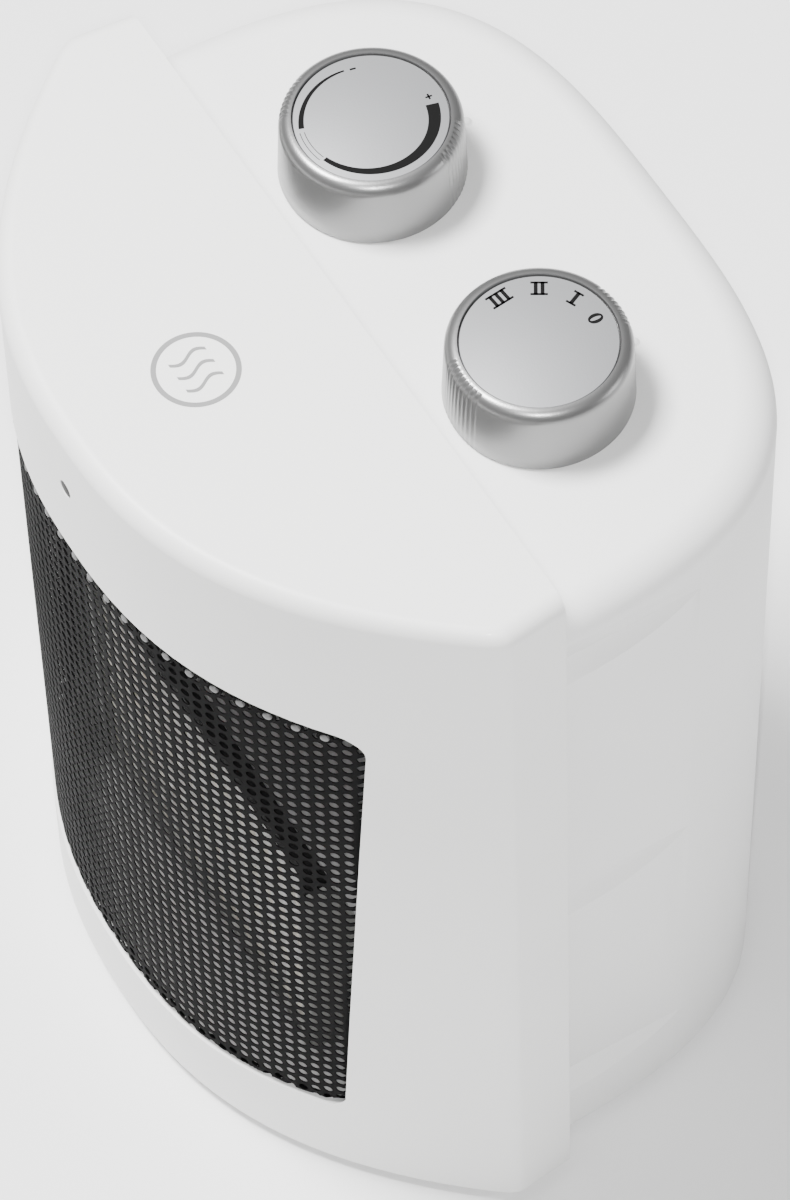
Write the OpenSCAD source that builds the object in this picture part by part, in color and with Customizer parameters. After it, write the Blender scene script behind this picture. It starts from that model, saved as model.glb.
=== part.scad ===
// Ceramic space heater: a D-shaped front cover with a perforated grille, a rounded rear
// housing with two control knobs on its deck, and the heater, fan and switches inside.
// Millimetres. +Z is up, the front faces -Y, and the origin is under the middle of the
// object, on the surface that it stands on.

/* [Front cover] */
// Width of the front cover along its rear edge, at the top
cover_w = 175; // [160:1:210]
// Height of the front cover
cover_h = 228; // [205:1:280]
// How far each side of the front cover leans out from top to foot
cover_flare = 5; // [0:0.5:8]
// How much wider each side is at its front corner than at the rear edge
cover_splay = 1.5; // [0:0.5:3]
// Depth of the flat sides, from the rear edge to the front corner
side_flat = 15; // [8:0.5:25]
// Depth of the bowed front, from the front corners to its middle
bow_depth = 51; // [40:1:62]
// Roundness of the bow: 2 is a parabola, more is squarer
bow_power = 2.37; // [2:0.01:3.5]
// Wall of the front cover
cover_wall = 2.2; // [1.8:0.1:3]
// Rounding of the cover's top edge
cover_fillet = 4; // [2:0.5:6]
// Thickness of the flange behind the rear edge
flange_t = 3; // [2:0.5:5]

/* [Grille] */
// Height of the lower edge of the grille opening above the cover's foot
grille_low = 24.5; // [15:0.5:40]
// Height of the grille opening
grille_open_h = 158; // [120:1:165]
// Width of the grille opening along its top
grille_open_w = 141.4; // [110:0.1:145]
// How much narrower the opening is at its foot, each side
grille_draft = 4.3; // [0:0.1:6]
// Rise of the opening's curved top edge in the middle, and fall of its lower edge
grille_arch = 3.5; // [0:0.5:6]
// Corner radius of the grille opening
grille_corner_r = 6; // [3:0.5:12]
// Thickness of the perforated sheet
grille_t = 0.8; // [0.6:0.1:1.5]
// How far the sheet reaches behind the cover around the opening
grille_lap = 4; // [2:0.5:5]

/* [Rear housing] */
// How far the front cover stands proud of the rear housing, each side
cover_overhang = 2.3; // [0.5:0.1:5]
// Depth of the rear housing behind the seam
rear_depth = 78.3; // [70:0.1:95]
// Squareness of the rear housing's plan: 2 is an ellipse
rear_power = 3.19; // [2.4:0.01:5]
// How far in front of the seam the rounded plan has its widest place
rear_origin = 7.8; // [0:0.1:15]
// Wall of the rear housing
rear_wall = 2.5; // [2:0.1:3]
// How far the control deck lies below the cover's top
deck_drop = 13.3; // [8:0.1:20]
// Rounding of the deck's outer edge
deck_fillet = 8; // [4:0.5:12]
// Depth of the side panels at their foot
panel_depth = 3.2; // [1:0.1:4]
// Height of the slope that ends each side panel
panel_ledge_h = 5; // [3:0.5:8]
// Heights of the three side ledges above the housing's foot, as shares of its height
panel_shares = [0.075, 0.455, 0.895];
// Depth of the recessed inlet panel
inlet_depth = 5.5; // [3:0.1:7]
// Width of one inlet slot
inlet_slot_w = 34; // [24:1:36]
// Height of one inlet slot
inlet_slot_h = 3; // [2:0.1:3.8]
// Distance from slot to slot
inlet_pitch = 7; // [5.5:0.5:10]

/* [Controls] */
// Distance of each knob from the middle
knob_x = 33.3; // [26:0.1:40]
// Distance of the knobs behind the seam
knob_back = 27.1; // [24:0.1:36]
// Outer radius of a knob at its foot
knob_r = 20; // [16:0.1:23]
// Height of a knob
knob_h = 17.6; // [13:0.1:22]
// Width of the bright rim around a knob's inset disc
rim_w = 3; // [2:0.1:5]
// Gap between the deck and a knob
knob_gap = 0.3; // [0.2:0.1:1]
// Radius of the two control shafts
shaft_r = 3; // [2.5:0.1:4]
// Number of grip notches in each of the two rows on a knob
notch_count = 9; // [5:1:13]

/* [Heater] */
// Width of the ceramic heater block
heater_w = 92; // [70:1:96]
// Height of the ceramic heater block
heater_h = 72; // [50:1:74]
// Depth of the ceramic heater block
heater_d = 15; // [10:0.5:18]
// Number of ceramic bars in the block
bar_count = 4; // [3:1:5]
// Thickness of one ceramic bar
bar_t = 3; // [2:0.5:4]
// Number of fin folds along one row
fin_folds = 30; // [16:1:40]
// Thickness of the fin strip
fin_t = 0.5; // [0.4:0.1:0.8]

/* [Fan] */
// Radius of the fan impeller
fan_r = 36; // [28:0.5:37]
// Radius of the impeller's hub
hub_r = 12; // [10:0.5:16]
// Depth of the impeller
fan_d = 14; // [10:0.5:18]
// Number of blades
blade_count = 7; // [5:1:9]
// Gap between blade tips and duct
tip_gap = 1.5; // [1:0.1:3]
// Radius of the motor's can
motor_r = 18; // [14:0.5:20]
// Length of the motor's can
motor_d = 24; // [18:0.5:28]
// Radius of the motor shaft
motor_shaft_r = 1.6; // [1.2:0.1:2.5]

/* [Base] */
// Height of the rubber feet
foot_h = 3; // [2:0.5:8]
// Radius of the rubber feet
foot_r = 7; // [5:0.5:9]
// Thickness of the base plate
plate_t = 2.5; // [2:0.1:3]
// Travel of the tip-over plunger when the heater is lifted
plunger_travel = 5; // [3:0.5:5]
// Radius of the tip-over plunger
plunger_r = 4; // [3:0.1:5]

/* [Fits] */
// Clearance between parts that are assembled face to face
seat_gap = 0.2; // [0.1:0.05:0.4]
// Radial clearance of a shaft that turns or slides in its bore
running_gap = 0.05; // [0.02:0.01:0.1]
// Radial clearance of a screw or bush in its hole
hole_gap = 0.3; // [0.2:0.05:0.5]
// Radius of the power cord that the inlet gland takes
cord_r = 3.5; // [3:0.1:4]

/* [Hidden] */

$fn = 48;
eps = 0.01;
bow_steps = 36;
rear_steps = 44;
fillet_steps = 5;
grille_steps = 24;
arch_steps = 3;

// The object's depth is centred on the origin.
front_reach = side_flat + bow_depth;
seam_y = (front_reach - rear_depth) / 2;
foot_z = foot_h;
top_z = foot_z + cover_h;
deck_z = top_z - deck_drop;
deck_under = deck_z - rear_wall;
housing_h = deck_z - foot_z;
rear_half = cover_w / 2 - cover_overhang;
rear_bow = rear_depth + rear_origin;
rear_centre_y = seam_y - rear_origin;
mouth_half = rear_half - rear_wall - panel_depth;
corner_y = seam_y - side_flat;

// Heater block and duct, set out from the grille's foot.
block_low = foot_z + grille_low + 0.5;
block_high = block_low + heater_h;
block_mid_z = (block_low + block_high) / 2;
frame_bar = 2.5;
band_h = 5;
frame_lip = 0.4;
frame_top = block_high + band_h;
block_front = seam_y - 41;
block_back = block_front + heater_d;
baffle_t = 2;
baffle_y = block_back + frame_lip + seat_gap;
baffle_half = mouth_half - 1;
shelf_t = 1.6;
shelf_setback = 3.5;
shelf_z = frame_top + seat_gap;
baffle_low = foot_z + plate_t + seat_gap;
terminal_w = 6;
terminal_t = 0.8;
terminal_x = heater_w / 2 + frame_bar + 5;
ring_wall = 2;
duct_ring_r = fan_r + tip_gap;
fan_y = baffle_y + baffle_t + 7;
fan_back = fan_y + fan_d;
motor_y = fan_back + 8;
spider_t = 3;
spider_y = motor_y - spider_t;
fan_z = block_mid_z;

// Controls, hung under the deck.
knob_y = seam_y + knob_back;
knob_z = deck_z + knob_gap;
knob_top = knob_z + knob_h;
knob_rim_r = knob_r - 0.6;
disc_gap = 0.3;
disc_r = knob_rim_r - rim_w;
knob_skirt = 2.2;
rim_round = 2.4;
rim_steps = 6;
notch_pitch = 4.6;
thermostat_grip = 40;
selector_grip = 91;
knob_hollow_h = 8;
boss_r = shaft_r + 3;
disc_t = 1.2;
disc_inset = 0.5;
control_w = 34;
control_l = 30;
control_h = 24;
bush_r = shaft_r + 2.2;
screw_r = 1.5;
screw_head_r = 2.8;
screw_head_h = 1.8;
control_screw_x = bush_r + screw_head_r + 3;
bush_h = 2;
shaft_top = knob_top - disc_inset - disc_t - 1;
shaft_low = deck_under - seat_gap - control_h + 4;

// Inlet slots and gland on the back.
inlet_low = foot_z + housing_h * 0.47;
inlet_high = foot_z + housing_h * 0.9;
back_y = seam_y + rear_depth;
slot_rows_upper = floor((inlet_high - inlet_low - 12) / inlet_pitch);
slot_rows_lower = floor((inlet_low - foot_z - 40) / inlet_pitch);
gland_x = 34;
gland_z = foot_z + 17;
gland_face_y = back_y - 5;
gland_flange_r = cord_r + 5.5;
gland_barrel_r = cord_r + 3;
gland_flange_t = 2;
gland_boss_t = 9;
index_r = 1;
index_h = 0.6;
gland_len = 14;

// Base, feet and tip-over switch.
plate_top = foot_z + plate_t;
foot_x = 62;
foot_front_y = corner_y - 14;
foot_back_y = back_y - 34;
foot_stem_r = 2.5;
base_boss_r = 4.5;
base_boss_h = 16;
cover_boss_x = rear_edge_half(foot_z) - cover_wall - base_boss_r + 1;
cover_boss_y = seam_y - 12;
rear_boss_x = rear_half - rear_wall - base_boss_r + 1;
rear_boss_y = seam_y + 12;
terminal_block_x = 24;
terminal_block_y = seam_y + 40;
terminal_block_h = 12;
tip_x = -48;
tip_y = seam_y + 38;
collar_z = plate_top + plunger_travel + 0.5;
collar_t = 2;
collar_r = plunger_r + 2;
tip_body_z = collar_z + collar_t + 14;
tip_body_h = 18;
tip_w = 22;
tip_d = 16;
tip_leg = 3;
spring_wire_r = 0.45;
spring_r = plunger_r + 1.4;
spring_turns = 6;

// Indicator window in the band above the grille.
lens_z = top_z - 19.5;
lens_r = 2.1;
lens_l = 5.2;

// Half width of the front cover's rear edge at height z.
function rear_edge_half(z) = cover_w / 2 + cover_flare * (top_z - z) / cover_h;

// Outline of the front cover at height z, moved inwards by inset, ending at rear_y.
function bow_y(x, half, inset) =
    corner_y - (bow_depth - inset) * (1 - pow(min(1, abs(x) / half), bow_power));

function cover_outline(z, inset, rear_y) =
    let (half_rear = rear_edge_half(z) - inset, half_front = half_rear + cover_splay)
    concat([[-half_rear, rear_y]],
           [for (i = [0 : bow_steps])
               let (x = -half_front * cos(180 * i / bow_steps))
               [x, bow_y(x, half_front, inset)]],
           [[half_rear, rear_y]]);

// Outline of the rear housing, moved inwards by inset, from front_y round the back.
function rear_arc(inset) =
    [for (i = [0 : rear_steps])
        let (a = 180 * i / rear_steps, c = cos(a), s = sin(a))
        [(rear_half - inset) * sign(c) * pow(abs(c), 2 / rear_power),
         rear_centre_y + (rear_bow - inset) * pow(s, 2 / rear_power)]];

function rear_outline(inset, front_y) =
    concat([[rear_half - inset, front_y]],
           [for (p = rear_arc(inset)) if (p[1] > front_y + eps) p],
           [[inset - rear_half, front_y]]);

function at_height(outline, z) = [for (p = outline) [p[0], p[1], z]];

// Closed solid through a list of rings with the same number of points. Each ring runs
// anticlockwise about the direction from the first ring to the last. Ends made of rungs
// suit a bent sheet, whose ring goes out along one side and back along the other.
module skin(rings, rungs = false) {
    n = len(rings[0]);
    last = len(rings) - 1;
    end = rungs ? [for (i = [0 : n / 2 - 2]) [i, i + 1, n - 2 - i, n - 1 - i]]
                : [[for (i = [0 : n - 1]) i]];
    sides = [for (k = [0 : last - 1], i = [0 : n - 1])
        let (a = k * n + i, b = k * n + (i + 1) % n)
        each [[a, a + n, b + n], [a, b + n, b]]];
    polyhedron(points = [for (ring = rings) each ring],
               faces = concat(end, sides,
                              [for (f = end) [for (i = reversed(f)) last * n + i]]));
}

// Cylinder along +Y from y.
module y_cylinder(x, y, z, r, h) {
    translate([x, y, z]) rotate([-90, 0, 0]) cylinder(r = r, h = h);
}

// Box centred on x, from y and z upwards.
module x_box(w, y, d, z, h, x = 0) {
    translate([x - w / 2, y, z]) cube([w, d, h]);
}

// Rounded opening that narrows to its foot, with arched edges, pushed through along Y.
module grille_prism(y, d) {
    low = foot_z + grille_low + grille_corner_r;
    high = foot_z + grille_low + grille_open_h - grille_corner_r;
    half_top = grille_open_w / 2 - grille_corner_r;
    hull() for (k = [-arch_steps : arch_steps])
        let (t = k / arch_steps, rise = grille_arch * (1 - t * t)) {
            y_cylinder(t * half_top, y, high + rise, grille_corner_r, d);
            y_cylinder(t * (half_top - grille_draft), y, low - rise, grille_corner_r, d);
        }
}

// Upright bosses in one shell that take the screws of the base plate.
module base_bosses(x, y) {
    for (side = [-1, 1]) translate([side * x, y, plate_top + seat_gap]) difference() {
        cylinder(r = base_boss_r, h = base_boss_h);
        translate([0, 0, -1]) cylinder(r = screw_r, h = base_boss_h - 2);
    }
}

module front_cover() {
    color("white") {
        cover_shell();
        base_bosses(cover_boss_x, cover_boss_y);
    }
}

module cover_shell() {
    cavity_back = seam_y - flange_t;
    difference() {
        skin(concat([at_height(cover_outline(foot_z, 0, seam_y), foot_z)],
            [for (k = [0 : fillet_steps])
                let (a = 90 * k / fillet_steps,
                     z = top_z - cover_fillet * (1 - sin(a)))
                at_height(cover_outline(z, cover_fillet * (1 - cos(a)), seam_y), z)]));
        skin([for (z = [foot_z - 1, top_z - cover_wall])
            at_height(cover_outline(z, cover_wall, cavity_back), z)]);
        x_box(2 * mouth_half, cavity_back - 1, flange_t + 2, foot_z - 1,
              deck_under - foot_z + 1);
        grille_prism(seam_y - front_reach - 1, front_reach - flange_t);
        y_cylinder(0, seam_y - front_reach - 1, lens_z, lens_r, front_reach - flange_t);
    }
}

// One face of the bowed sheet at height z, from left to right.
function grille_arc(z, half_width, inset) =
    let (half = rear_edge_half(z) + cover_splay - inset)
    [for (i = [0 : grille_steps])
        let (x = half_width * (2 * i / grille_steps - 1))
        [x, bow_y(x, half, inset)]];

function reversed(list) = [for (i = [len(list) - 1 : -1 : 0]) list[i]];

module front_grille() {
    outer = cover_wall + seat_gap;
    low = foot_z + grille_low - grille_arch - grille_lap;
    high = foot_z + grille_low + grille_open_h + grille_arch + grille_lap;
    top_reach = grille_open_w / 2 + grille_lap;
    color("dimgray") skin([for (z = [low, high])
        let (reach = top_reach - grille_draft * (high - z) / (high - low))
        at_height(concat(grille_arc(z, reach, outer),
                         reversed(grille_arc(z, reach, outer + grille_t))), z)], true);
}

// Wedges that shape the side panels: each leans inwards to its foot and ends in a slope.
module side_wedges(shift) {
    for (i = [0 : len(panel_shares) - 1]) {
        low = foot_z + housing_h * panel_shares[i];
        high = i + 1 < len(panel_shares)
            ? foot_z + housing_h * panel_shares[i + 1] : deck_z - deck_fillet;
        for (side = [-1, 1])
            scale([side, 1, 1]) translate([rear_half - shift, back_y + 1, 0])
                rotate([90, 0, 0]) linear_extrude(height = rear_depth + 2)
                    polygon([[2, low], [2, high], [0, high],
                             [-panel_depth, low + panel_ledge_h], [0, low]]);
    }
}

// Box that sets the inlet panel back into the rounded rear.
module inlet_recess(shift) {
    translate([-rear_half, back_y - inlet_depth - shift, inlet_low + shift])
        cube([2 * rear_half, inlet_depth + shift + 1, inlet_high - inlet_low - 2 * shift]);
}

module inlet_slots() {
    for (side = [-1, 1]) {
        for (row = [0 : slot_rows_upper - 1])
            x_box(inlet_slot_w, back_y - 16, 20, inlet_low + 8 + row * inlet_pitch,
                  inlet_slot_h, side * (inlet_slot_w / 2 + 2));
        for (row = [0 : slot_rows_lower - 1])
            x_box(inlet_slot_w, back_y - 16, 20, foot_z + 32 + row * inlet_pitch,
                  inlet_slot_h, side * (inlet_slot_w / 2 + 2));
    }
}

// Places on the deck for the two controls.
module at_controls() {
    for (side = [-1, 1]) translate([side * knob_x, knob_y, 0]) children();
}

module rear_housing() {
    color("white") difference() {
        union() {
            rear_shell();
            gland_boss();
            base_bosses(rear_boss_x, rear_boss_y);
            at_controls() translate([0, knob_r + 3, deck_z - eps])
                cylinder(r = index_r, h = index_h);
        }
        inlet_slots();
        y_cylinder(gland_x, gland_face_y - 20, gland_z, gland_barrel_r + hole_gap, 30);
        y_cylinder(gland_x, gland_face_y, gland_z, gland_flange_r + hole_gap, 10);
        at_controls() {
            translate([0, 0, deck_under - 1])
                cylinder(r = bush_r + hole_gap, h = rear_wall + 2);
            for (side = [-1, 1])
                translate([side * control_screw_x, 0, deck_under - 1])
                    cylinder(r = screw_r + hole_gap, h = rear_wall + 2);
        }
    }
}

// The round boss behind the cord inlet, grown out of the middle of the curved back wall.
module gland_boss() {
    intersection() {
        y_cylinder(gland_x, gland_face_y - gland_boss_t, gland_z, gland_flange_r + 2,
                   gland_boss_t + back_y - gland_face_y);
        skin([for (z = [foot_z, deck_under])
            at_height(rear_outline(rear_wall / 2, seam_y + seat_gap), z)]);
    }
}

module rear_shell() {
    front_y = seam_y + seat_gap;
    difference() {
        skin(concat([at_height(rear_outline(0, front_y), foot_z)],
            [for (k = [0 : fillet_steps])
                let (a = 90 * k / fillet_steps, z = deck_z - deck_fillet * (1 - sin(a)))
                at_height(rear_outline(deck_fillet * (1 - cos(a)), front_y), z)]));
        side_wedges(0);
        inlet_recess(0);
        difference() {
            skin([for (z = [foot_z - 1, deck_under])
                at_height(rear_outline(rear_wall, front_y - 1), z)]);
            side_wedges(rear_wall);
            inlet_recess(rear_wall);
            deck_corner_fill();
        }
    }
}

// Material left under the rounded deck edge, so that the wall stays whole there.
module deck_corner_fill() {
    difference() {
        skin([for (z = [deck_z - deck_fillet, deck_z])
            at_height(rear_outline(-1, seam_y - 2), z)]);
        skin([for (z = [deck_z - deck_fillet - 1, deck_z + 1])
            at_height(rear_outline(rear_wall + deck_fillet / 3, seam_y - 3), z)]);
    }
}

module base_plate() {
    gap = seat_gap + 0.1;
    color("gainsboro") difference() {
        translate([0, 0, foot_z]) linear_extrude(height = plate_t) union() {
            polygon(cover_outline(foot_z + plate_t, cover_wall + gap,
                                  seam_y - flange_t - gap));
            polygon(rear_outline(rear_wall + gap, seam_y + gap));
            translate([gap - mouth_half, seam_y - flange_t - 1])
                square([2 * (mouth_half - gap), flange_t + 2]);
        }
        for (side = [-1, 1], y = [foot_front_y, foot_back_y])
            translate([side * foot_x, y, foot_z - 1])
                cylinder(r = foot_stem_r + hole_gap, h = plate_t + 2);
        for (side = [-1, 1])
            for (place = [[cover_boss_x, cover_boss_y], [rear_boss_x, rear_boss_y]])
                translate([side * place[0], place[1], foot_z - 1])
                    cylinder(r = screw_r + hole_gap, h = plate_t + 2);
        translate([tip_x, tip_y, foot_z - 1])
            cylinder(r = plunger_r + hole_gap, h = plate_t + 2);
    }
}

module rubber_feet() {
    color("dimgray") for (side = [-1, 1], y = [foot_front_y, foot_back_y])
        translate([side * foot_x, y, 0]) {
            cylinder(r = foot_r, h = foot_h);
            cylinder(r = foot_stem_r, h = foot_h + plate_t + 1);
        }
}

module cable_gland() {
    color("white") difference() {
        union() {
            y_cylinder(gland_x, gland_face_y + seat_gap, gland_z, gland_flange_r,
                       gland_flange_t);
            y_cylinder(gland_x, gland_face_y + seat_gap + gland_flange_t - gland_len,
                       gland_z, gland_barrel_r, gland_len);
        }
        y_cylinder(gland_x, gland_face_y - gland_len, gland_z, cord_r + hole_gap,
                   2 * gland_len);
    }
}

module indicator_lens() {
    front = seam_y - front_reach + cover_wall / 2;
    wall = 0.6;
    color("maroon") difference() {
        y_cylinder(0, front, lens_z, lens_r - hole_gap / 2, lens_l);
        y_cylinder(0, front + 1.5, lens_z, lens_r - hole_gap / 2 - wall, lens_l);
    }
}

module indicator_lamp() {
    front = seam_y - front_reach + cover_wall / 2 + lens_l + seat_gap;
    color("orangered") {
        y_cylinder(0, front, lens_z, lens_r - hole_gap / 2, 8);
        x_box(8, front + 8, 5, lens_z - 4, 8);
    }
}

module heater_frame() {
    depth = heater_d + 2 * frame_lip;
    color("#222222") difference() {
        x_box(heater_w + 2 * frame_bar, block_front - frame_lip, depth,
              block_low - frame_bar, heater_h + frame_bar + band_h);
        x_box(heater_w + 2 * seat_gap, block_front - 2, heater_d + 4,
              block_low - seat_gap, heater_h + 2 * seat_gap);
    }
}

// Rows of the block: ceramic bars share the height evenly, with fins between them.
row_pitch = (heater_h - bar_t) / bar_count;

module ceramic_bars() {
    color("tan") for (i = [0 : bar_count])
        x_box(heater_w, block_front + 1, heater_d - 2, block_low + i * row_pitch, bar_t);
}

module heater_fins() {
    room = row_pitch - bar_t;
    step = (heater_w - 2) / fin_folds;
    function fold(i, up) = [i * step - heater_w / 2 + 1, (i % 2 == 0 ? 0 : room - fin_t) + up];
    color("silver") for (row = [0 : bar_count - 1])
        translate([0, block_back, block_low + bar_t + row * row_pitch])
            rotate([90, 0, 0]) linear_extrude(height = heater_d)
                polygon(concat([for (i = [0 : fin_folds]) fold(i, 0)],
                               [for (i = [fin_folds : -1 : 0]) fold(i, fin_t)]));
}

module terminal_slots(grow, y, d) {
    for (i = [0 : 2])
        x_box(terminal_w + 2 * grow, y, d, block_low + 4 + i * (heater_h - 10) / 2 - grow,
              terminal_t + 2 * grow, terminal_x);
}

module heater_terminals() {
    color("goldenrod") terminal_slots(0, block_back + frame_lip + eps, 14);
}

module thermal_cutout() {
    y = baffle_y + baffle_t + seat_gap;
    color("silver") {
        y_cylinder(-terminal_x - 4, y, block_high, 5, 4);
        x_box(20, y, 0.8, block_high - 3, 6, -terminal_x - 4);
    }
}

// Duct between fan and heater: a baffle across the housing, a shelf over the heater, the
// fan's ring, and four arms that carry the motor.
module air_duct() {
    color("silver") {
        difference() {
            union() {
                x_box(2 * baffle_half, baffle_y, baffle_t, baffle_low,
                      shelf_z + shelf_t - baffle_low);
                y_cylinder(0, baffle_y + baffle_t / 2, fan_z, duct_ring_r + ring_wall,
                           motor_y - baffle_y - baffle_t / 2);
            }
            y_cylinder(0, baffle_y - 1, fan_z, duct_ring_r, motor_y - baffle_y + 2);
            terminal_slots(seat_gap, baffle_y - 1, baffle_t + 2);
        }
        duct_shelf();
        motor_spider();
    }
}

module motor_spider() {
    difference() {
        union() {
            y_cylinder(0, spider_y, fan_z, motor_r, spider_t);
            for (a = [0 : 3])
                translate([0, spider_y + 0.5, fan_z]) rotate([0, 45 + 90 * a, 0])
                    translate([motor_r - 2, 0, -2])
                        cube([duct_ring_r + 3 - motor_r, spider_t - 1, 4]);
        }
        y_cylinder(0, spider_y - 1, fan_z, motor_shaft_r + 2.5, spider_t + 2);
        for (side = [-1, 1])
            y_cylinder(side * (motor_r - 5), spider_y - 1, fan_z, screw_r, spider_t + 2);
    }
}

module duct_shelf() {
    margin = cover_wall + grille_t + 3;
    depth = heater_d - shelf_setback + 1;
    translate([0, 0, shelf_z]) linear_extrude(height = shelf_t) intersection() {
        polygon(cover_outline(shelf_z + shelf_t, margin, seam_y));
        translate([-baffle_half, block_front + shelf_setback])
            square([2 * baffle_half, depth + baffle_t]);
    }
}

module fan_motor() {
    color("silver") difference() {
        y_cylinder(0, motor_y + seat_gap, fan_z, motor_r, motor_d);
        y_cylinder(0, motor_y - 1, fan_z, motor_shaft_r + 1.5, motor_d - 3);
        for (side = [-1, 1])
            y_cylinder(side * (motor_r - 5), motor_y - 1, fan_z, screw_r, 8);
    }
}

module motor_bearing() {
    color("goldenrod") difference() {
        y_cylinder(0, motor_y + seat_gap, fan_z, motor_shaft_r + 1.5, 8);
        y_cylinder(0, motor_y - 1, fan_z, motor_shaft_r + running_gap, 12);
    }
}

module motor_screws() {
    color("silver") for (side = [-1, 1]) {
        y_cylinder(side * (motor_r - 5), spider_y - 1.5, fan_z, screw_r, 9);
        y_cylinder(side * (motor_r - 5), spider_y - 1.5, fan_z, screw_head_r, 1.5);
    }
}

module fan_impeller() {
    tilt = 38;
    color("ivory") difference() {
        union() {
            y_cylinder(0, fan_y, fan_z, hub_r, fan_d);
            intersection() {
                difference() {
                    y_cylinder(0, fan_y, fan_z, fan_r, fan_d);
                    y_cylinder(0, fan_y - 1, fan_z, hub_r - 1, fan_d + 2);
                }
                for (i = [0 : blade_count - 1])
                    translate([0, fan_y + fan_d / 2, fan_z])
                        rotate([0, 360 * i / blade_count, 0]) rotate([tilt, 0, 0])
                            translate([0, -1, -14]) cube([fan_r + 1, 1.6, 28]);
            }
        }
        y_cylinder(0, fan_y - 1, fan_z, motor_shaft_r, fan_d + 2);
    }
}

module motor_shaft() {
    color("silver")
        y_cylinder(0, fan_y + 1, fan_z, motor_shaft_r, motor_y + 8 - fan_y);
}

// A control: its box under the deck, its bush through the deck, and the shaft's bore.
module control_body(box_h) {
    top = deck_under - seat_gap;
    difference() {
        union() {
            x_box(control_w, -control_l / 2, control_l, top - box_h, box_h);
            translate([0, 0, top - eps])
                cylinder(r = bush_r, h = rear_wall + bush_h);
        }
        translate([0, 0, shaft_low - 1])
            cylinder(r = shaft_r + running_gap, h = deck_z - shaft_low + 10);
        for (side = [-1, 1])
            translate([side * control_screw_x, 0, top - 8])
                cylinder(r = screw_r, h = 10);
    }
}

module thermostat_body() {
    color("tan") translate([-knob_x, knob_y, 0]) control_body(control_h);
}

module selector_body() {
    color("#222222") translate([knob_x, knob_y, 0]) control_body(control_h);
}

module control_screws() {
    color("silver") at_controls() for (side = [-1, 1])
        translate([side * control_screw_x, 0, deck_z]) {
            cylinder(r = screw_head_r, h = screw_head_h);
            translate([0, 0, -9]) cylinder(r = screw_r, h = 9 + eps);
        }
}

// Round shaft or bore with one flat, so that the knob can't slip on it.
module d_shape(r, low, high) {
    intersection() {
        translate([0, 0, low]) cylinder(r = r, h = high - low);
        translate([-r - 1, -r - 1, low - 1]) cube([2 * r + 2, 1.6 * r + 1, high - low + 2]);
    }
}

module control_shaft() {
    translate([0, 0, shaft_low]) cylinder(r = shaft_r, h = deck_z + bush_h - shaft_low);
    d_shape(shaft_r, deck_z + bush_h - eps, shaft_top);
}

module knob_body(grip_angle) {
    floor_z = knob_top - disc_inset - disc_t;
    difference() {
        union() {
            difference() {
                rotate_extrude() polygon(concat([[0, knob_z], [knob_r, knob_z]],
                    [for (k = [0 : rim_steps])
                        let (a = 90 * k / rim_steps)
                        [knob_rim_r - rim_round * (1 - cos(a)),
                         knob_top - rim_round * (1 - sin(a))]],
                    [[disc_r + disc_gap, knob_top], [disc_r + disc_gap, floor_z],
                     [0, floor_z]]));
                translate([0, 0, knob_z - 1])
                    cylinder(r = knob_r - knob_skirt, h = knob_hollow_h + 1);
            }
            translate([0, 0, deck_z + bush_h + 1])
                cylinder(r = boss_r, h = knob_hollow_h);
        }
        d_shape(shaft_r + running_gap, deck_z, shaft_top + running_gap);
        for (side = [0, 180], i = [0 : notch_count - 1])
            rotate([0, 0, grip_angle + side + (i - (notch_count - 1) / 2) * notch_pitch])
                translate([knob_rim_r + 0.35, 0, knob_top - 7])
                    cylinder(r = 0.7, h = 8);
    }
}

module knob_disc() {
    translate([0, 0, knob_top - disc_inset - disc_t + eps])
        cylinder(r = disc_r, h = disc_t);
}

module thermostat_shaft() {
    color("silver") translate([-knob_x, knob_y, 0]) control_shaft();
}

module thermostat_knob() {
    color("silver") translate([-knob_x, knob_y, 0]) knob_body(thermostat_grip);
}

module thermostat_disc() {
    color("lightgray") translate([-knob_x, knob_y, 0]) knob_disc();
}

module selector_shaft() {
    color("silver") translate([knob_x, knob_y, 0]) control_shaft();
}

module selector_knob() {
    color("silver") translate([knob_x, knob_y, 0]) knob_body(selector_grip);
}

module selector_disc() {
    color("lightgray") translate([knob_x, knob_y, 0]) knob_disc();
}

module terminal_block() {
    depth = 14;
    color("ivory") difference() {
        x_box(34, terminal_block_y, depth, plate_top + seat_gap, terminal_block_h,
              terminal_block_x);
        for (i = [-1 : 1])
            translate([terminal_block_x + i * 10, terminal_block_y + depth - 4,
                       plate_top + 4])
                cylinder(r = 2, h = terminal_block_h);
    }
}

module tip_switch() {
    base = plate_top + seat_gap;
    color("#222222") difference() {
        x_box(tip_w, tip_y - tip_d / 2, tip_d, base, tip_body_z + tip_body_h - base, tip_x);
        x_box(tip_w - 2 * tip_leg, tip_y - tip_d, 2 * tip_d, base - 1, tip_body_z - base + 1,
              tip_x);
        translate([tip_x, tip_y, tip_body_z - 1])
            cylinder(r = plunger_r + running_gap, h = tip_body_h - 2);
    }
}

module tip_plunger() {
    color("ivory") translate([tip_x, tip_y, 0]) {
        cylinder(r = plunger_r, h = tip_body_z + tip_body_h - 6);
        translate([0, 0, collar_z]) cylinder(r = collar_r, h = collar_t);
    }
}

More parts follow.
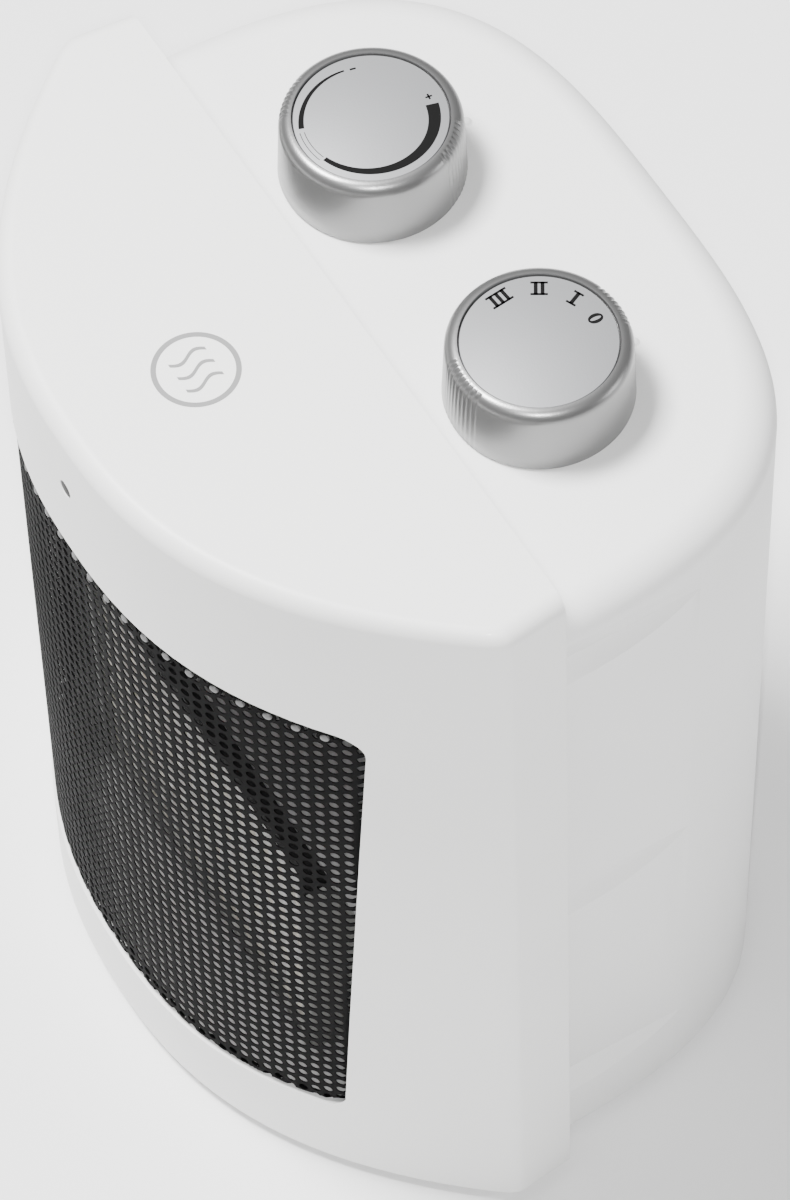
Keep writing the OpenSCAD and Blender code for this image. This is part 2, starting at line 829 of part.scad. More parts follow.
// Coil spring between the plunger's collar and the switch.
module plunger_spring() {
    low = collar_z + collar_t + spring_wire_r + eps;
    high = tip_body_z - spring_wire_r - eps;
    ring_count = spring_turns * 14;
    wire_sides = 8;
    function ring(k) =
        let (t = k / ring_count, a = 360 * spring_turns * t,
             out = [cos(a), sin(a), 0],
             rise = (high - low) / (2 * PI * spring_turns * spring_r),
             along = [-sin(a), cos(a), rise] / sqrt(1 + rise * rise),
             side = cross(along, out),
             centre = [spring_r * cos(a), spring_r * sin(a), low + (high - low) * t])
        [for (i = [0 : wire_sides - 1])
            let (b = 360 * i / wire_sides)
            centre + spring_wire_r * (cos(b) * out + sin(b) * side)];
    color("silver") translate([tip_x, tip_y, 0])
        skin([for (k = [0 : ring_count]) ring(k)]);
}

module base_screws() {
    color("silver") for (side = [-1, 1])
        for (place = [[cover_boss_x, cover_boss_y], [rear_boss_x, rear_boss_y]])
            translate([side * place[0], place[1], foot_z - screw_head_h]) {
                cylinder(r = screw_head_r, h = screw_head_h);
                cylinder(r = screw_r, h = screw_head_h + plate_t + 10);
            }
}

// Lead from one terminal to another: a round strand whose middle moves along an S.
module lead(from, to) {
    strand_r = 1.1;
    strand_sides = 8;
    ring_count = 12;
    skin([for (k = [0 : ring_count])
        let (t = k / ring_count, s = t * t * (3 - 2 * t),
             x = from[0] + (to[0] - from[0]) * s,
             y = from[1] + (to[1] - from[1]) * s,
             z = from[2] + (to[2] - from[2]) * t)
        [for (i = [0 : strand_sides - 1])
            let (a = 360 * i / strand_sides)
            [x + strand_r * cos(a), y + strand_r * sin(a), z]]]);
}

module lead_wires() {
    block_top = plate_top + seat_gap + terminal_block_h;
    control_low = deck_under - seat_gap - control_h;
    y = terminal_block_y + 3;
    color("firebrick") {
        lead([terminal_block_x - 10, y, block_top], [-knob_x - 5, knob_y + 7, control_low]);
        lead([terminal_block_x, y, block_top], [-knob_x + 5, knob_y + 7, control_low]);
        lead([terminal_block_x + 10, y, block_top], [knob_x, knob_y + 7, control_low]);
        lead([terminal_x, baffle_y + 8, block_high - 1],
             [knob_x + 8, knob_y - 8, control_low]);
    }
}

front_cover();
front_grille();
rear_housing();
base_plate();
rubber_feet();
cable_gland();
indicator_lens();
indicator_lamp();
heater_frame();
ceramic_bars();
heater_fins();
heater_terminals();
thermal_cutout();
air_duct();
fan_motor();
motor_bearing();
motor_screws();
fan_impeller();
motor_shaft();
thermostat_body();
selector_body();
control_screws();
terminal_block();
tip_switch();
tip_plunger();
plunger_spring();
base_screws();
lead_wires();
thermostat_shaft();
thermostat_knob();
thermostat_disc();
selector_shaft();
selector_knob();
selector_disc();
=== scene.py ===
# %% [markdown]
# # A ceramic space heater, built piece by piece
#
# The heater is a small tower: a white front cover with a bowed face, a perforated steel
# grille, a white rear housing with a lower deck, and two silver controls on that deck.
# Behind the grille sit a black framed block of ceramic bars and fins, a grey air duct and
# a fan. Those inner parts already come with the frame, exact and jointed, so this file
# models what the eye reads closely and gives every part its finish.
#
# All sizes below are in millimetres, turned to metres only where Blender needs them. The
# frame is shared with the physics model: +Z is up, the front faces -Y.

# %% Load the frame
import math
from contextlib import contextmanager
import bmesh
import bpy
from mathutils import Matrix, Vector


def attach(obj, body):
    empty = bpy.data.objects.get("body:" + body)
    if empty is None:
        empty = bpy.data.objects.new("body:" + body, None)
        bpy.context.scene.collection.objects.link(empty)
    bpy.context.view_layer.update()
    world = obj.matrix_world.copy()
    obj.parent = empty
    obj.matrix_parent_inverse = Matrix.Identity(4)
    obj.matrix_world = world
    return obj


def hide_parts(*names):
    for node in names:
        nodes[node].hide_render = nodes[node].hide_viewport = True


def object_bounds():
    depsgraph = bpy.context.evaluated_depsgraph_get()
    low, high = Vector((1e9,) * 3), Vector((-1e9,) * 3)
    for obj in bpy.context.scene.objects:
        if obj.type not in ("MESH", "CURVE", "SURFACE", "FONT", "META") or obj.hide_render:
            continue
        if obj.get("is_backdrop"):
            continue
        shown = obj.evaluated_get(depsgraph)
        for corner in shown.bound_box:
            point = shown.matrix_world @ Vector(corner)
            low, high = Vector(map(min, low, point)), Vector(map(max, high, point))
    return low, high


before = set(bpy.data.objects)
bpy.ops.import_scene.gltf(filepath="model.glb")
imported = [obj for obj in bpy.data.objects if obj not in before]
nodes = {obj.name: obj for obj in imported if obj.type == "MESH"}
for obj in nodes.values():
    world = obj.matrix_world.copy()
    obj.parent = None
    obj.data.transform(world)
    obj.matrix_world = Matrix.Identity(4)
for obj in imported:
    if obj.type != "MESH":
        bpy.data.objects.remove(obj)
first_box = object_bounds()
print(len(nodes), "parts in the frame, box from", list(first_box[0]), "to", list(first_box[1]))

# %% [markdown]
# ## The habits every piece shares
#
# Operators act on whatever is selected, so each one starts from a known selection. The
# `editing` block opens edit mode on one piece, hands over its live mesh and closes it again.
# `choose` then picks points, edges or faces by where they are or which way they face, never
# by number. Numbers change as soon as a step above changes.

# %% Selection and edit mode
MM = 0.001

def only(piece):
    bpy.ops.object.select_all(action="DESELECT")
    piece.select_set(True)
    bpy.context.view_layer.objects.active = piece

@contextmanager
def editing(piece):
    only(piece)
    bpy.ops.object.mode_set(mode="EDIT")
    bpy.ops.mesh.select_mode(type="VERT")
    yield bmesh.from_edit_mesh(piece.data)
    bmesh.update_edit_mesh(piece.data)
    bpy.ops.object.mode_set(mode="OBJECT")

def choose(mesh, items, test):
    bpy.ops.mesh.select_all(action="DESELECT")
    chosen = [item for item in items if test(item)]
    for item in chosen:
        item.select_set(True)
    mesh.select_flush_mode()
    return len(chosen)

def newest(name):
    piece = bpy.context.object
    piece.name = name
    return piece

for thing in bpy.context.selected_objects:
    thing.select_set(False)
print("selection is empty:", not bpy.context.selected_objects)

# %% [markdown]
# ## Three ways to make a body
#
# `build_up` grows a body in layers. A flat grid, one cell deep, is laid out between a
# near row and a far row of points, then its top is extruded to each next height and its
# points take their places in the next outline. A tag on every point remembers its row and
# column, because an extrusion copies such tags. It suits the two shells, whose plan is
# constant but whose edges flare and round off.
#
# `pull` draws one flat outline and pulls it through along an axis. `cut` removes one body
# from another with the exact Boolean and throws the cutter away. `duplicate` copies a piece
# together with its mesh, for things that are modelled once and needed more often.

# %% Bodies
def build_up(name, rings):
    columns = len(rings[0][1]) - 1
    bpy.ops.object.select_all(action="DESELECT")
    bpy.ops.mesh.primitive_grid_add(x_subdivisions=columns, y_subdivisions=1, size=1)
    piece = newest(name)
    with editing(piece) as mesh:
        tag = mesh.verts.layers.int.new("place")
        for v in mesh.verts:
            v[tag] = round((v.co.x + 0.5) * columns) + (1000 if v.co.y > 0 else 0)
        for level, (z, near, far) in enumerate(rings):
            if level:
                bpy.ops.mesh.extrude_region_move()
                mesh = bmesh.from_edit_mesh(piece.data)
                tag = mesh.verts.layers.int["place"]
            for v in mesh.verts:
                if v.select:
                    row = far if v[tag] >= 1000 else near
                    x, y = row[v[tag] % 1000]
                    v.co = Vector((x, y, z)) * MM
            bmesh.update_edit_mesh(piece.data)
        bpy.ops.mesh.select_all(action="SELECT")
        bpy.ops.mesh.normals_make_consistent(inside=False)
    return piece

def pull(name, outline, plane, start, end):
    """outline in mm in the plane "XY", "XZ" or "YZ", pulled along the third axis."""
    axis = {"XY": 2, "XZ": 1, "YZ": 0}[plane]
    bpy.ops.object.select_all(action="DESELECT")
    bpy.ops.mesh.primitive_circle_add(vertices=len(outline), fill_type="NGON")
    piece = newest(name)
    with editing(piece) as mesh:
        mesh.verts.ensure_lookup_table()
        for v, (a, b) in zip(mesh.verts, outline):
            place = [a, b]
            place.insert(axis, start)
            v.co = Vector(place) * MM
        step = [0, 0, 0]
        step[axis] = (end - start) * MM
        bpy.ops.mesh.extrude_region_move(TRANSFORM_OT_translate={"value": step})
        bpy.ops.mesh.select_all(action="SELECT")
        bpy.ops.mesh.normals_make_consistent(inside=False)
    return piece

def block(name, low, high):
    size = [(b - a) * MM for a, b in zip(low, high)]
    middle = [(a + b) / 2 * MM for a, b in zip(low, high)]
    bpy.ops.object.select_all(action="DESELECT")
    bpy.ops.mesh.primitive_cube_add(size=1, location=middle)
    piece = newest(name)
    piece.scale = size
    bpy.ops.object.transform_apply(location=True, rotation=True, scale=True)
    return piece

def rod(name, radius, start, end, axis="Z", sides=64):
    turn = {"X": (0, math.pi / 2, 0), "Y": (math.pi / 2, 0, 0), "Z": (0, 0, 0)}[axis]
    middle = [(a + b) / 2 * MM for a, b in zip(start, end)]
    long = math.dist(start, end) * MM
    bpy.ops.object.select_all(action="DESELECT")
    bpy.ops.mesh.primitive_cylinder_add(vertices=sides, radius=radius * MM, depth=long,
                                        location=middle, rotation=turn)
    piece = newest(name)
    bpy.ops.object.transform_apply(location=True, rotation=True, scale=True)
    return piece

def join(name, pieces):
    only(pieces[0])
    for piece in pieces:
        piece.select_set(True)
    bpy.ops.object.join()
    return newest(name)

def duplicate(source, name, place=(0, 0, 0)):
    """A copy with its own mesh, its origin moved to that place in mm."""
    piece = source.copy()
    piece.data = source.data.copy()
    piece.name = name
    piece.location = Vector(place) * MM
    bpy.context.collection.objects.link(piece)
    return piece

def modify(piece, kind, **settings):
    only(piece)
    modifier = piece.modifiers.new(kind.title(), kind)
    for key, value in settings.items():
        setattr(modifier, key, value)
    bpy.ops.object.modifier_apply(modifier=modifier.name)

def combine(piece, other, operation="DIFFERENCE"):
    modify(piece, "BOOLEAN", object=other, operation=operation, solver="EXACT")
    bpy.data.objects.remove(other, do_unlink=True)

def cut(piece, *cutters):
    for cutter in cutters:
        combine(piece, cutter)

def size_of(piece):
    corners = [piece.matrix_world @ Vector(c) for c in piece.bound_box]
    return [round((max(c[i] for c in corners) - min(c[i] for c in corners)) / MM, 2)
            for i in range(3)]

# %% [markdown]
# ## Finishes
#
# Every finish shares two effects, each a small shader group made once. **Grain** is the
# fine texture a moulding takes from its tool, or a metal from brushing: it is only height.
# **Drift** is the slow change of tone and gloss across a real surface, so that nothing is
# the one flat value a computer would give it. The shader itself stays in each material,
# where its settings can be read at a glance.

# %% Shared effects
def effect(name, inputs, outputs):
    group = bpy.data.node_groups.new(name, "ShaderNodeTree")
    for label, kind, value in inputs:
        socket = group.interface.new_socket(label, in_out="INPUT", socket_type=kind)
        socket.default_value = value
    for label, kind in outputs:
        group.interface.new_socket(label, in_out="OUTPUT", socket_type=kind)
    return group, group.nodes.new("NodeGroupInput"), group.nodes.new("NodeGroupOutput")

grain, g_in, g_out = effect(
    "Grain",
    [("Scale", "NodeSocketFloat", 900.0)],
    [("Height", "NodeSocketFloat")])
where = grain.nodes.new("ShaderNodeTexCoord")
speck = grain.nodes.new("ShaderNodeTexNoise")
speck.inputs["Detail"].default_value = 2.0
grain.links.new(where.outputs["Object"], speck.inputs["Vector"])
grain.links.new(g_in.outputs["Scale"], speck.inputs["Scale"])
grain.links.new(speck.outputs["Fac"], g_out.inputs["Height"])

drift, d_in, d_out = effect(
    "Drift",
    [("Colour", "NodeSocketColor", (0.8, 0.8, 0.8, 1)), ("Amount", "NodeSocketFloat", 0.03),
     ("Roughness", "NodeSocketFloat", 0.4), ("Gloss change", "NodeSocketFloat", 0.08)],
    [("Colour", "NodeSocketColor"), ("Roughness", "NodeSocketFloat")])
place = drift.nodes.new("ShaderNodeTexCoord")
cloud = drift.nodes.new("ShaderNodeTexNoise")
cloud.inputs["Scale"].default_value = 14.0
cloud.inputs["Detail"].default_value = 5.0
tone = drift.nodes.new("ShaderNodeMapRange")
tone.inputs["From Min"].default_value = 0.3
tone.inputs["From Max"].default_value = 0.7
shade = drift.nodes.new("ShaderNodeMath")
shade.operation = "MULTIPLY"
darker = drift.nodes.new("ShaderNodeMix")
darker.data_type = "RGBA"
darker.blend_type = "MULTIPLY"
darker.inputs["B"].default_value = (0.0, 0.0, 0.0, 1)
rougher = drift.nodes.new("ShaderNodeMath")
rougher.operation = "MULTIPLY_ADD"
drift.links.new(place.outputs["Object"], cloud.inputs["Vector"])
drift.links.new(cloud.outputs["Fac"], tone.inputs["Value"])
drift.links.new(tone.outputs["Result"], shade.inputs[0])
drift.links.new(d_in.outputs["Amount"], shade.inputs[1])
drift.links.new(shade.outputs[0], darker.inputs["Factor"])
drift.links.new(d_in.outputs["Colour"], darker.inputs["A"])
drift.links.new(tone.outputs["Result"], rougher.inputs[0])
drift.links.new(d_in.outputs["Gloss change"], rougher.inputs[1])
drift.links.new(d_in.outputs["Roughness"], rougher.inputs[2])
drift.links.new(darker.outputs["Result"], d_out.inputs["Colour"])
drift.links.new(rougher.outputs[0], d_out.inputs["Roughness"])
print("shader groups:", [g.name for g in bpy.data.node_groups])

# %% [markdown]
# `finish` makes one material from its everyday description: colour, gloss, whether it is
# metal, and how coarse and how deep its grain is. Colours are linear light, so 0.8 is a
# bright white plastic and 0.02 is black.

# %% One material
def finish(name, colour, roughness, metallic=0.0, coat=0.0, scale=900.0, depth=0.05,
           amount=0.03, shine=0.5, subsurface=0.0):
    material = bpy.data.materials.new(name)
    material.use_nodes = True
    tree = material.node_tree
    shader = tree.nodes["Principled BSDF"]
    rgb = colour if isinstance(colour, tuple) else (colour, colour, colour)
    shader.inputs["Metallic"].default_value = metallic
    shader.inputs["Coat Weight"].default_value = coat
    shader.inputs["Coat Roughness"].default_value = 0.12
    shader.inputs["Specular IOR Level"].default_value = shine
    shader.inputs["Subsurface Weight"].default_value = subsurface
    shader.inputs["Subsurface Scale"].default_value = 0.002
    change = tree.nodes.new("ShaderNodeGroup")
    change.node_tree = drift
    change.inputs["Colour"].default_value = (*rgb, 1)
    change.inputs["Amount"].default_value = amount
    change.inputs["Roughness"].default_value = roughness
    texture = tree.nodes.new("ShaderNodeGroup")
    texture.node_tree = grain
    texture.inputs["Scale"].default_value = scale
    bump = tree.nodes.new("ShaderNodeBump")
    bump.inputs["Strength"].default_value = depth
    bump.inputs["Distance"].default_value = 0.0004
    tree.links.new(change.outputs["Colour"], shader.inputs["Base Color"])
    tree.links.new(change.outputs["Roughness"], shader.inputs["Roughness"])
    tree.links.new(texture.outputs["Height"], bump.inputs["Height"])
    tree.links.new(bump.outputs["Normal"], shader.inputs["Normal"])
    return material

LOOKS = {
    "cover_white": finish("Cover plastic", (0.83, 0.83, 0.82), 0.42, coat=0.06, depth=0.04),
    "housing_white": finish("Housing plastic", (0.82, 0.82, 0.815), 0.45, coat=0.04,
                            depth=0.06),
    "base_grey": finish("Base plastic", (0.45, 0.45, 0.445), 0.55, depth=0.10),
    "grille_black": finish("Grille enamel", (0.005, 0.005, 0.005), 0.6, depth=0.10,
                           scale=1500.0, shine=0.022),
    "rubber": finish("Foot rubber", (0.035, 0.035, 0.035), 0.85, depth=0.25),
    "lens_red": finish("Lens plastic", (0.006, 0.004, 0.004), 0.3, depth=0.0, shine=0.03),
    "lamp_orange": finish("Lamp body", (0.60, 0.16, 0.04), 0.35),
    "frame_black": finish("Block frame", (0.006, 0.006, 0.006), 0.7, depth=0.15, shine=0.2),
    "ptc_ceramic": finish("Ceramic bars", (0.74, 0.71, 0.64), 0.7, depth=0.25),
    "fin_aluminium": finish("Fin aluminium", (0.88, 0.88, 0.87), 0.45, metallic=0.25,
                            depth=0.10),
    "terminal_brass": finish("Terminal brass", (0.72, 0.52, 0.20), 0.35, metallic=1.0),
    "steel": finish("Screw steel", (0.55, 0.55, 0.56), 0.35, metallic=1.0),
    "duct_grey": finish("Duct plastic", (0.28, 0.28, 0.28), 0.55, depth=0.12),
    "motor_steel": finish("Motor can", (0.48, 0.48, 0.47), 0.38, metallic=1.0),
    "bearing_bronze": finish("Bearing bronze", (0.50, 0.30, 0.12), 0.4, metallic=1.0),
    "fan_nylon": finish("Fan nylon", (0.78, 0.76, 0.70), 0.5, subsurface=0.1),
    "control_tan": finish("Control resin", (0.45, 0.30, 0.16), 0.6, depth=0.15),
    "control_black": finish("Control body", (0.03, 0.03, 0.03), 0.5, depth=0.12),
    "block_ivory": finish("Terminal block", (0.72, 0.68, 0.56), 0.5),
    "spring_steel": finish("Spring wire", (0.60, 0.60, 0.62), 0.28, metallic=1.0),
    "wire_red": finish("Wire sleeve", (0.45, 0.03, 0.025), 0.45),
    "knob_silver": finish("Knob metallic paint", (0.23, 0.23, 0.23), 0.30, metallic=0.8,
                          coat=0.1, scale=2200.0, depth=0.05, amount=0.02),
    "disc_silver": finish("Disc metallic paint", (0.25, 0.253, 0.26), 0.5, metallic=0.3,
                          scale=2600.0, depth=0.06, amount=0.02),
}
print(len(LOOKS), "finishes")

# %% [markdown]
# `settle` ends each piece in the same way: its transforms are applied, its faces shade
# smoothly up to a sharp angle, and it takes its finish, the one given or else the one its
# slot names. It is hung under an empty for the body it rides on, and the parts it stands for
# are hidden. `even` weighs the shading by face area, so that the thin faces a cut leaves cast
# no streaks.

# %% Settle
def settle(piece, slot, body="housing", stands_for=(), look=None, angle=32.0, even=False):
    only(piece)
    bpy.ops.object.transform_apply(location=True, rotation=True, scale=True)
    bpy.ops.object.shade_smooth_by_angle(angle=math.radians(angle))
    if even:
        modify(piece, "WEIGHTED_NORMAL", keep_sharp=True)
    piece.data.materials.clear()
    piece.data.materials.append(look or LOOKS[slot])
    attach(piece, body)
    if stands_for:
        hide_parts(*stands_for)
    print(f"{piece.name}: {len(piece.data.polygons)} faces, {size_of(piece)} mm")

# %% [markdown]
# ## The front cover
#
# On the real heater this is one injection moulding in white ABS: a flat top, a face that
# bows forward like a bow window, and short flat sides that meet the rear housing on one
# vertical plane. Its rear edge widens a little towards the foot, so that the moulding
# slides off its tool.
#
# The plan is a near row along the seam and a far row round the bow. The bow is a power
# curve, flatter in the middle than a circle. Where it meets the side flats the corner is
# softened with a short quadratic curve. The last few layers step inwards and upwards along
# a quarter circle, which makes the rounded top edge.

# %% Outline of the cover
SEAM_Y = -6.15
CORNER_Y = -21.15
BOW_DEPTH = 51.0
BOW_POWER = 2.37
FOOT_Z = 3.0
TOP_Z = 231.0
COVER_WALL = 2.2
FLARE = 5.0
SPLAY = 1.5
BOW_CELLS = 56
CORNER_LEG = 2.2
CORNER_TUCK = 0.15
CORNER_CELLS = 4
TOP_ROUND = 4.0

def rear_half(z):
    return 87.5 + FLARE * (TOP_Z - z) / (TOP_Z - FOOT_Z)

def bow_y(x, half, inset):
    return CORNER_Y - (BOW_DEPTH - inset) * (1 - min(1, abs(x) / half) ** BOW_POWER)

def corner_curve(half, inset):
    """From the side flat to the bow at the right-hand corner."""
    start = Vector((half - CORNER_TUCK, CORNER_Y + CORNER_LEG))
    tip = Vector((half, CORNER_Y))
    end_x = half - CORNER_LEG
    end = Vector((end_x, bow_y(end_x, half, inset)))
    curve = []
    for k in range(CORNER_CELLS + 1):
        t = k / CORNER_CELLS
        curve.append(start * (1 - t) ** 2 + tip * 2 * t * (1 - t) + end * t ** 2)
    return [tuple(p) for p in curve]

def cover_ring(z, inset, seam):
    rear = rear_half(z) - inset
    half = rear + SPLAY
    corner = corner_curve(half, inset)
    reach = corner[-1][0]
    bow = [reach * math.cos(math.pi * i / BOW_CELLS) for i in range(1, BOW_CELLS)]
    far = corner + [(x, bow_y(x, half, inset)) for x in bow]
    far += [(-x, y) for x, y in reversed(corner)]
    steps = len(far) - 1
    near = [(rear * (1 - 2 * i / steps), seam) for i in range(steps + 1)]
    return z, near, far

def quarter(radius, steps):
    """How far in and how far below the top each layer of a rounded edge lies."""
    turns = [math.pi / 2 * k / steps for k in range(steps + 1)]
    return [(radius * (1 - math.cos(a)), radius * (1 - math.sin(a))) for a in turns]

layers = [cover_ring(z, 0, SEAM_Y) for z in (FOOT_Z, 60, 117, 174)]
layers += [cover_ring(TOP_Z - down, inset, SEAM_Y) for inset, down in quarter(TOP_ROUND, 7)]
cover = build_up("front_cover_shell", layers)
print("cover blank:", size_of(cover), "mm")

# %% [markdown]
# The blank becomes a shell: a second, smaller body is cut out of it from below, leaving a
# 2.2 mm wall and a 3 mm flange at the seam. Then come the mouth in the flange, the
# opening for the grille, which narrows by 4.3 mm a side to its foot, and the round window.

# %% Hollow the cover and open it
FLANGE = 3.0
MOUTH_HALF = 79.5
DECK_Z = 217.7
DECK_UNDER = 215.2
hollow = [cover_ring(z, COVER_WALL, SEAM_Y - FLANGE) for z in (0, TOP_Z - COVER_WALL)]
cut(cover, build_up("cavity", hollow),
    block("mouth", (-MOUTH_HALF, SEAM_Y - FLANGE - 1, 0), (MOUTH_HALF, 0, DECK_UNDER)))

OPEN_LOW, OPEN_HIGH = 27.5, 185.5
OPEN_HALF_LOW, OPEN_HALF_HIGH = 66.4, 70.7
OPEN_ARCH = 3.5
OPEN_R = 6.0

def open_half(z):
    return OPEN_HALF_LOW + (OPEN_HALF_HIGH - OPEN_HALF_LOW) * (z - OPEN_LOW) / (
        OPEN_HIGH - OPEN_LOW)

def open_top(x):
    return OPEN_HIGH + OPEN_ARCH * (1 - (x / OPEN_HALF_HIGH) ** 2)

def open_foot(x):
    return OPEN_LOW - OPEN_ARCH * (1 - (x / OPEN_HALF_LOW) ** 2)

def open_outline():
    """The opening, wider at its top, with round corners and arched edges."""
    corner_steps, edge_steps = 7, 14
    outline = []
    for half, edge, facing in ((OPEN_HALF_HIGH, open_top, 1), (OPEN_HALF_LOW, open_foot, -1)):
        reach = facing * (half - OPEN_R)
        for k in range(corner_steps):
            a = math.pi / 2 * k / corner_steps
            outline.append((reach + facing * OPEN_R * math.cos(a),
                            edge(reach) - facing * OPEN_R * (1 - math.sin(a))))
        outline += [(reach * (1 - 2 * k / edge_steps), edge(reach * (1 - 2 * k / edge_steps)))
                    for k in range(edge_steps)]
        for k in range(corner_steps):
            a = math.pi / 2 * k / corner_steps
            outline.append((-reach - facing * OPEN_R * math.sin(a),
                            edge(reach) - facing * OPEN_R * (1 - math.cos(a))))
    return outline

LENS_Z, LENS_HOLE_R = 211.5, 2.1
cut(cover, pull("opening", open_outline(), "XZ", -80, -12),
    rod("window", LENS_HOLE_R, (0, -80, LENS_Z), (0, -60, LENS_Z), "Y", 32))
print("cover shell:", size_of(cover), "mm,", len(cover.data.polygons), "faces")

# %% [markdown]
# No moulded edge is perfectly sharp, and the light line along an edge is what tells the
# eye how thick the plastic is. A narrow bevel on every edge sharper than 40 degrees does
# that. Points closer than two hundredths of a millimetre are merged first.

# %% Break the sharp edges
def soften(piece, width, angle=40.0):
    modify(piece, "BEVEL", width=width * MM, segments=2, limit_method="ANGLE",
           angle_limit=math.radians(angle), use_clamp_overlap=True, harden_normals=False)

def tidy_mesh(piece):
    with editing(piece):
        bpy.ops.mesh.select_all(action="SELECT")
        bpy.ops.mesh.remove_doubles(threshold=0.02 * MM)
        bpy.ops.mesh.normals_make_consistent(inside=False)

tidy_mesh(cover)
soften(cover, 0.45)
settle(cover, "cover_white", stands_for=["front_cover"], even=True)

# %% [markdown]
# ## The rear housing
#
# The second white moulding carries the controls on a lower deck and wraps round the back.
# Its plan is a superellipse, squarer than an ellipse, and its deck has a broad 8 mm
# rounding. Each side has shallow stepped panels that lean inwards to a small sloping
# ledge. The back has a sunk panel with two columns of air slots, and the cable inlet.

# %% Outline of the rear housing
REAR_HALF = 85.2
REAR_POWER = 3.19
REAR_CENTRE_Y = -13.95
REAR_BOW = 86.1
REAR_WALL = 2.5
BACK_Y = 72.15
FRONT_Y = SEAM_Y + 0.2
SIDE_FLAT = 9.0
REAR_CELLS = 88
DECK_ROUND = 8.0

def rear_ring(z, inset, front):
    rise = (front + SIDE_FLAT - REAR_CENTRE_Y) / (REAR_BOW - inset)
    first = math.asin(rise ** (REAR_POWER / 2))
    far = []
    for i in range(REAR_CELLS + 1):
        a = first + (math.pi - 2 * first) * i / REAR_CELLS
        c, s = math.cos(a), math.sin(a)
        far.append(((REAR_HALF - inset) * math.copysign(abs(c) ** (2 / REAR_POWER), c),
                    REAR_CENTRE_Y + (REAR_BOW - inset) * s ** (2 / REAR_POWER)))
    near = [((REAR_HALF - inset) * (1 - 2 * i / REAR_CELLS), front)
            for i in range(REAR_CELLS + 1)]
    return z, near, far

layers = [rear_ring(z, 0, FRONT_Y) for z in (FOOT_Z, 60, 120, 180)]
layers += [rear_ring(DECK_Z - down, inset, FRONT_Y) for inset, down in quarter(DECK_ROUND, 9)]
housing = build_up("rear_housing_shell", layers)
print("housing blank:", size_of(housing), "mm")

# %% [markdown]
# The stepped panels and the sunk panel are cut from the blank, and the same shapes, one
# wall thickness further in, are first cut from the body that hollows it. So the wall
# stays whole behind every step.

# %% Panels, cavity and slots
LEDGES = [19.1, 100.7, 195.2, DECK_Z - DECK_ROUND]
PANEL_DEPTH = 3.2
LEDGE_RISE = 5.0
SUNK_Y = 66.65
SUNK_LOW, SUNK_HIGH = 103.9, 196.2

def panel_cutters(shift):
    wedges = []
    for low, high in zip(LEDGES, LEDGES[1:]):
        for side in (-1, 1):
            edge = REAR_HALF - shift
            outline = [(side * (edge + 4), low), (side * (edge + 4), high), (side * edge, high),
                       (side * (edge - PANEL_DEPTH), low + LEDGE_RISE), (side * edge, low)]
            wedges.append(pull("wedge", outline, "XZ", -9, BACK_Y + 2))
    return wedges

def sunk_cutter(shift):
    return block("sunk", (-90, SUNK_Y - shift, SUNK_LOW - shift),
                 (90, BACK_Y + 2, SUNK_HIGH + shift))

INNER_ROUND = 5.5
layers = [rear_ring(z, REAR_WALL, FRONT_Y - 1) for z in (0, DECK_UNDER - INNER_ROUND - 0.5)]
layers += [rear_ring(DECK_UNDER - down, REAR_WALL + inset, FRONT_Y - 1)
           for inset, down in quarter(INNER_ROUND, 3)[1:]]
hollow = build_up("hollow", layers)
cut(hollow, *panel_cutters(REAR_WALL), sunk_cutter(REAR_WALL))
cut(housing, *panel_cutters(0), sunk_cutter(0), hollow)

SLOT_W, SLOT_H, SLOT_PITCH, SLOT_RIB = 34.0, 3.0, 7.0, 4.0
rows = [SUNK_LOW + 8 + SLOT_PITCH * i for i in range(11)]
rows += [35 + SLOT_PITCH * i for i in range(8)]
slots = []
for z in rows:
    for side in (-1, 1):
        low_x, high_x = sorted((side * SLOT_RIB / 2, side * (SLOT_RIB / 2 + SLOT_W)))
        slots.append(block("slot", (low_x, BACK_Y - 14, z), (high_x, BACK_Y + 4, z + SLOT_H)))
cut(housing, join("slots", slots))
print("housing shell:", size_of(housing), "mm,", len(slots), "slots")

# %% [markdown]
# The cable inlet stands in a round boss that grows out of the curved wall: a rod, cut off
# along the middle of the wall, then joined to it. The deck gets its two bush holes and the
# four screw holes under the controls, where the CAD parts pass through.

# %% Inlet boss and deck holes
GLAND_X, GLAND_Z, GLAND_Y = 34.0, 20.0, 67.15
BOSS_R, BOSS_DEEP, BARREL_HOLE_R, FLANGE_SEAT_R = 11.0, 9.0, 6.8, 9.3
KNOB_X, KNOB_Y = 33.3, 20.95
BUSH_HOLE_R, SCREW_HOLE_R, SCREW_OFFSET = 5.5, 1.8, 11.0
boss = rod("boss", BOSS_R, (GLAND_X, GLAND_Y - BOSS_DEEP, GLAND_Z),
           (GLAND_X, BACK_Y, GLAND_Z), "Y", 48)
combine(boss, build_up("inside", [rear_ring(z, REAR_WALL / 2, FRONT_Y)
                                  for z in (FOOT_Z, DECK_UNDER)]), "INTERSECT")
combine(housing, boss, "UNION")
outside = (GLAND_X, BACK_Y + 8, GLAND_Z)
cut(housing, rod("barrel", BARREL_HOLE_R, (GLAND_X, 40, GLAND_Z), outside, "Y", 48),
    rod("flange", FLANGE_SEAT_R, (GLAND_X, GLAND_Y, GLAND_Z), outside, "Y", 48))
holes = []
for side in (-1, 1):
    centre = side * KNOB_X
    low, high = DECK_UNDER - 2, DECK_Z + 4
    holes.append(rod("bush", BUSH_HOLE_R, (centre, KNOB_Y, low), (centre, KNOB_Y, high)))
    for x in (centre - SCREW_OFFSET, centre + SCREW_OFFSET):
        holes.append(rod("screw", SCREW_HOLE_R, (x, KNOB_Y, low), (x, KNOB_Y, high), sides=24))
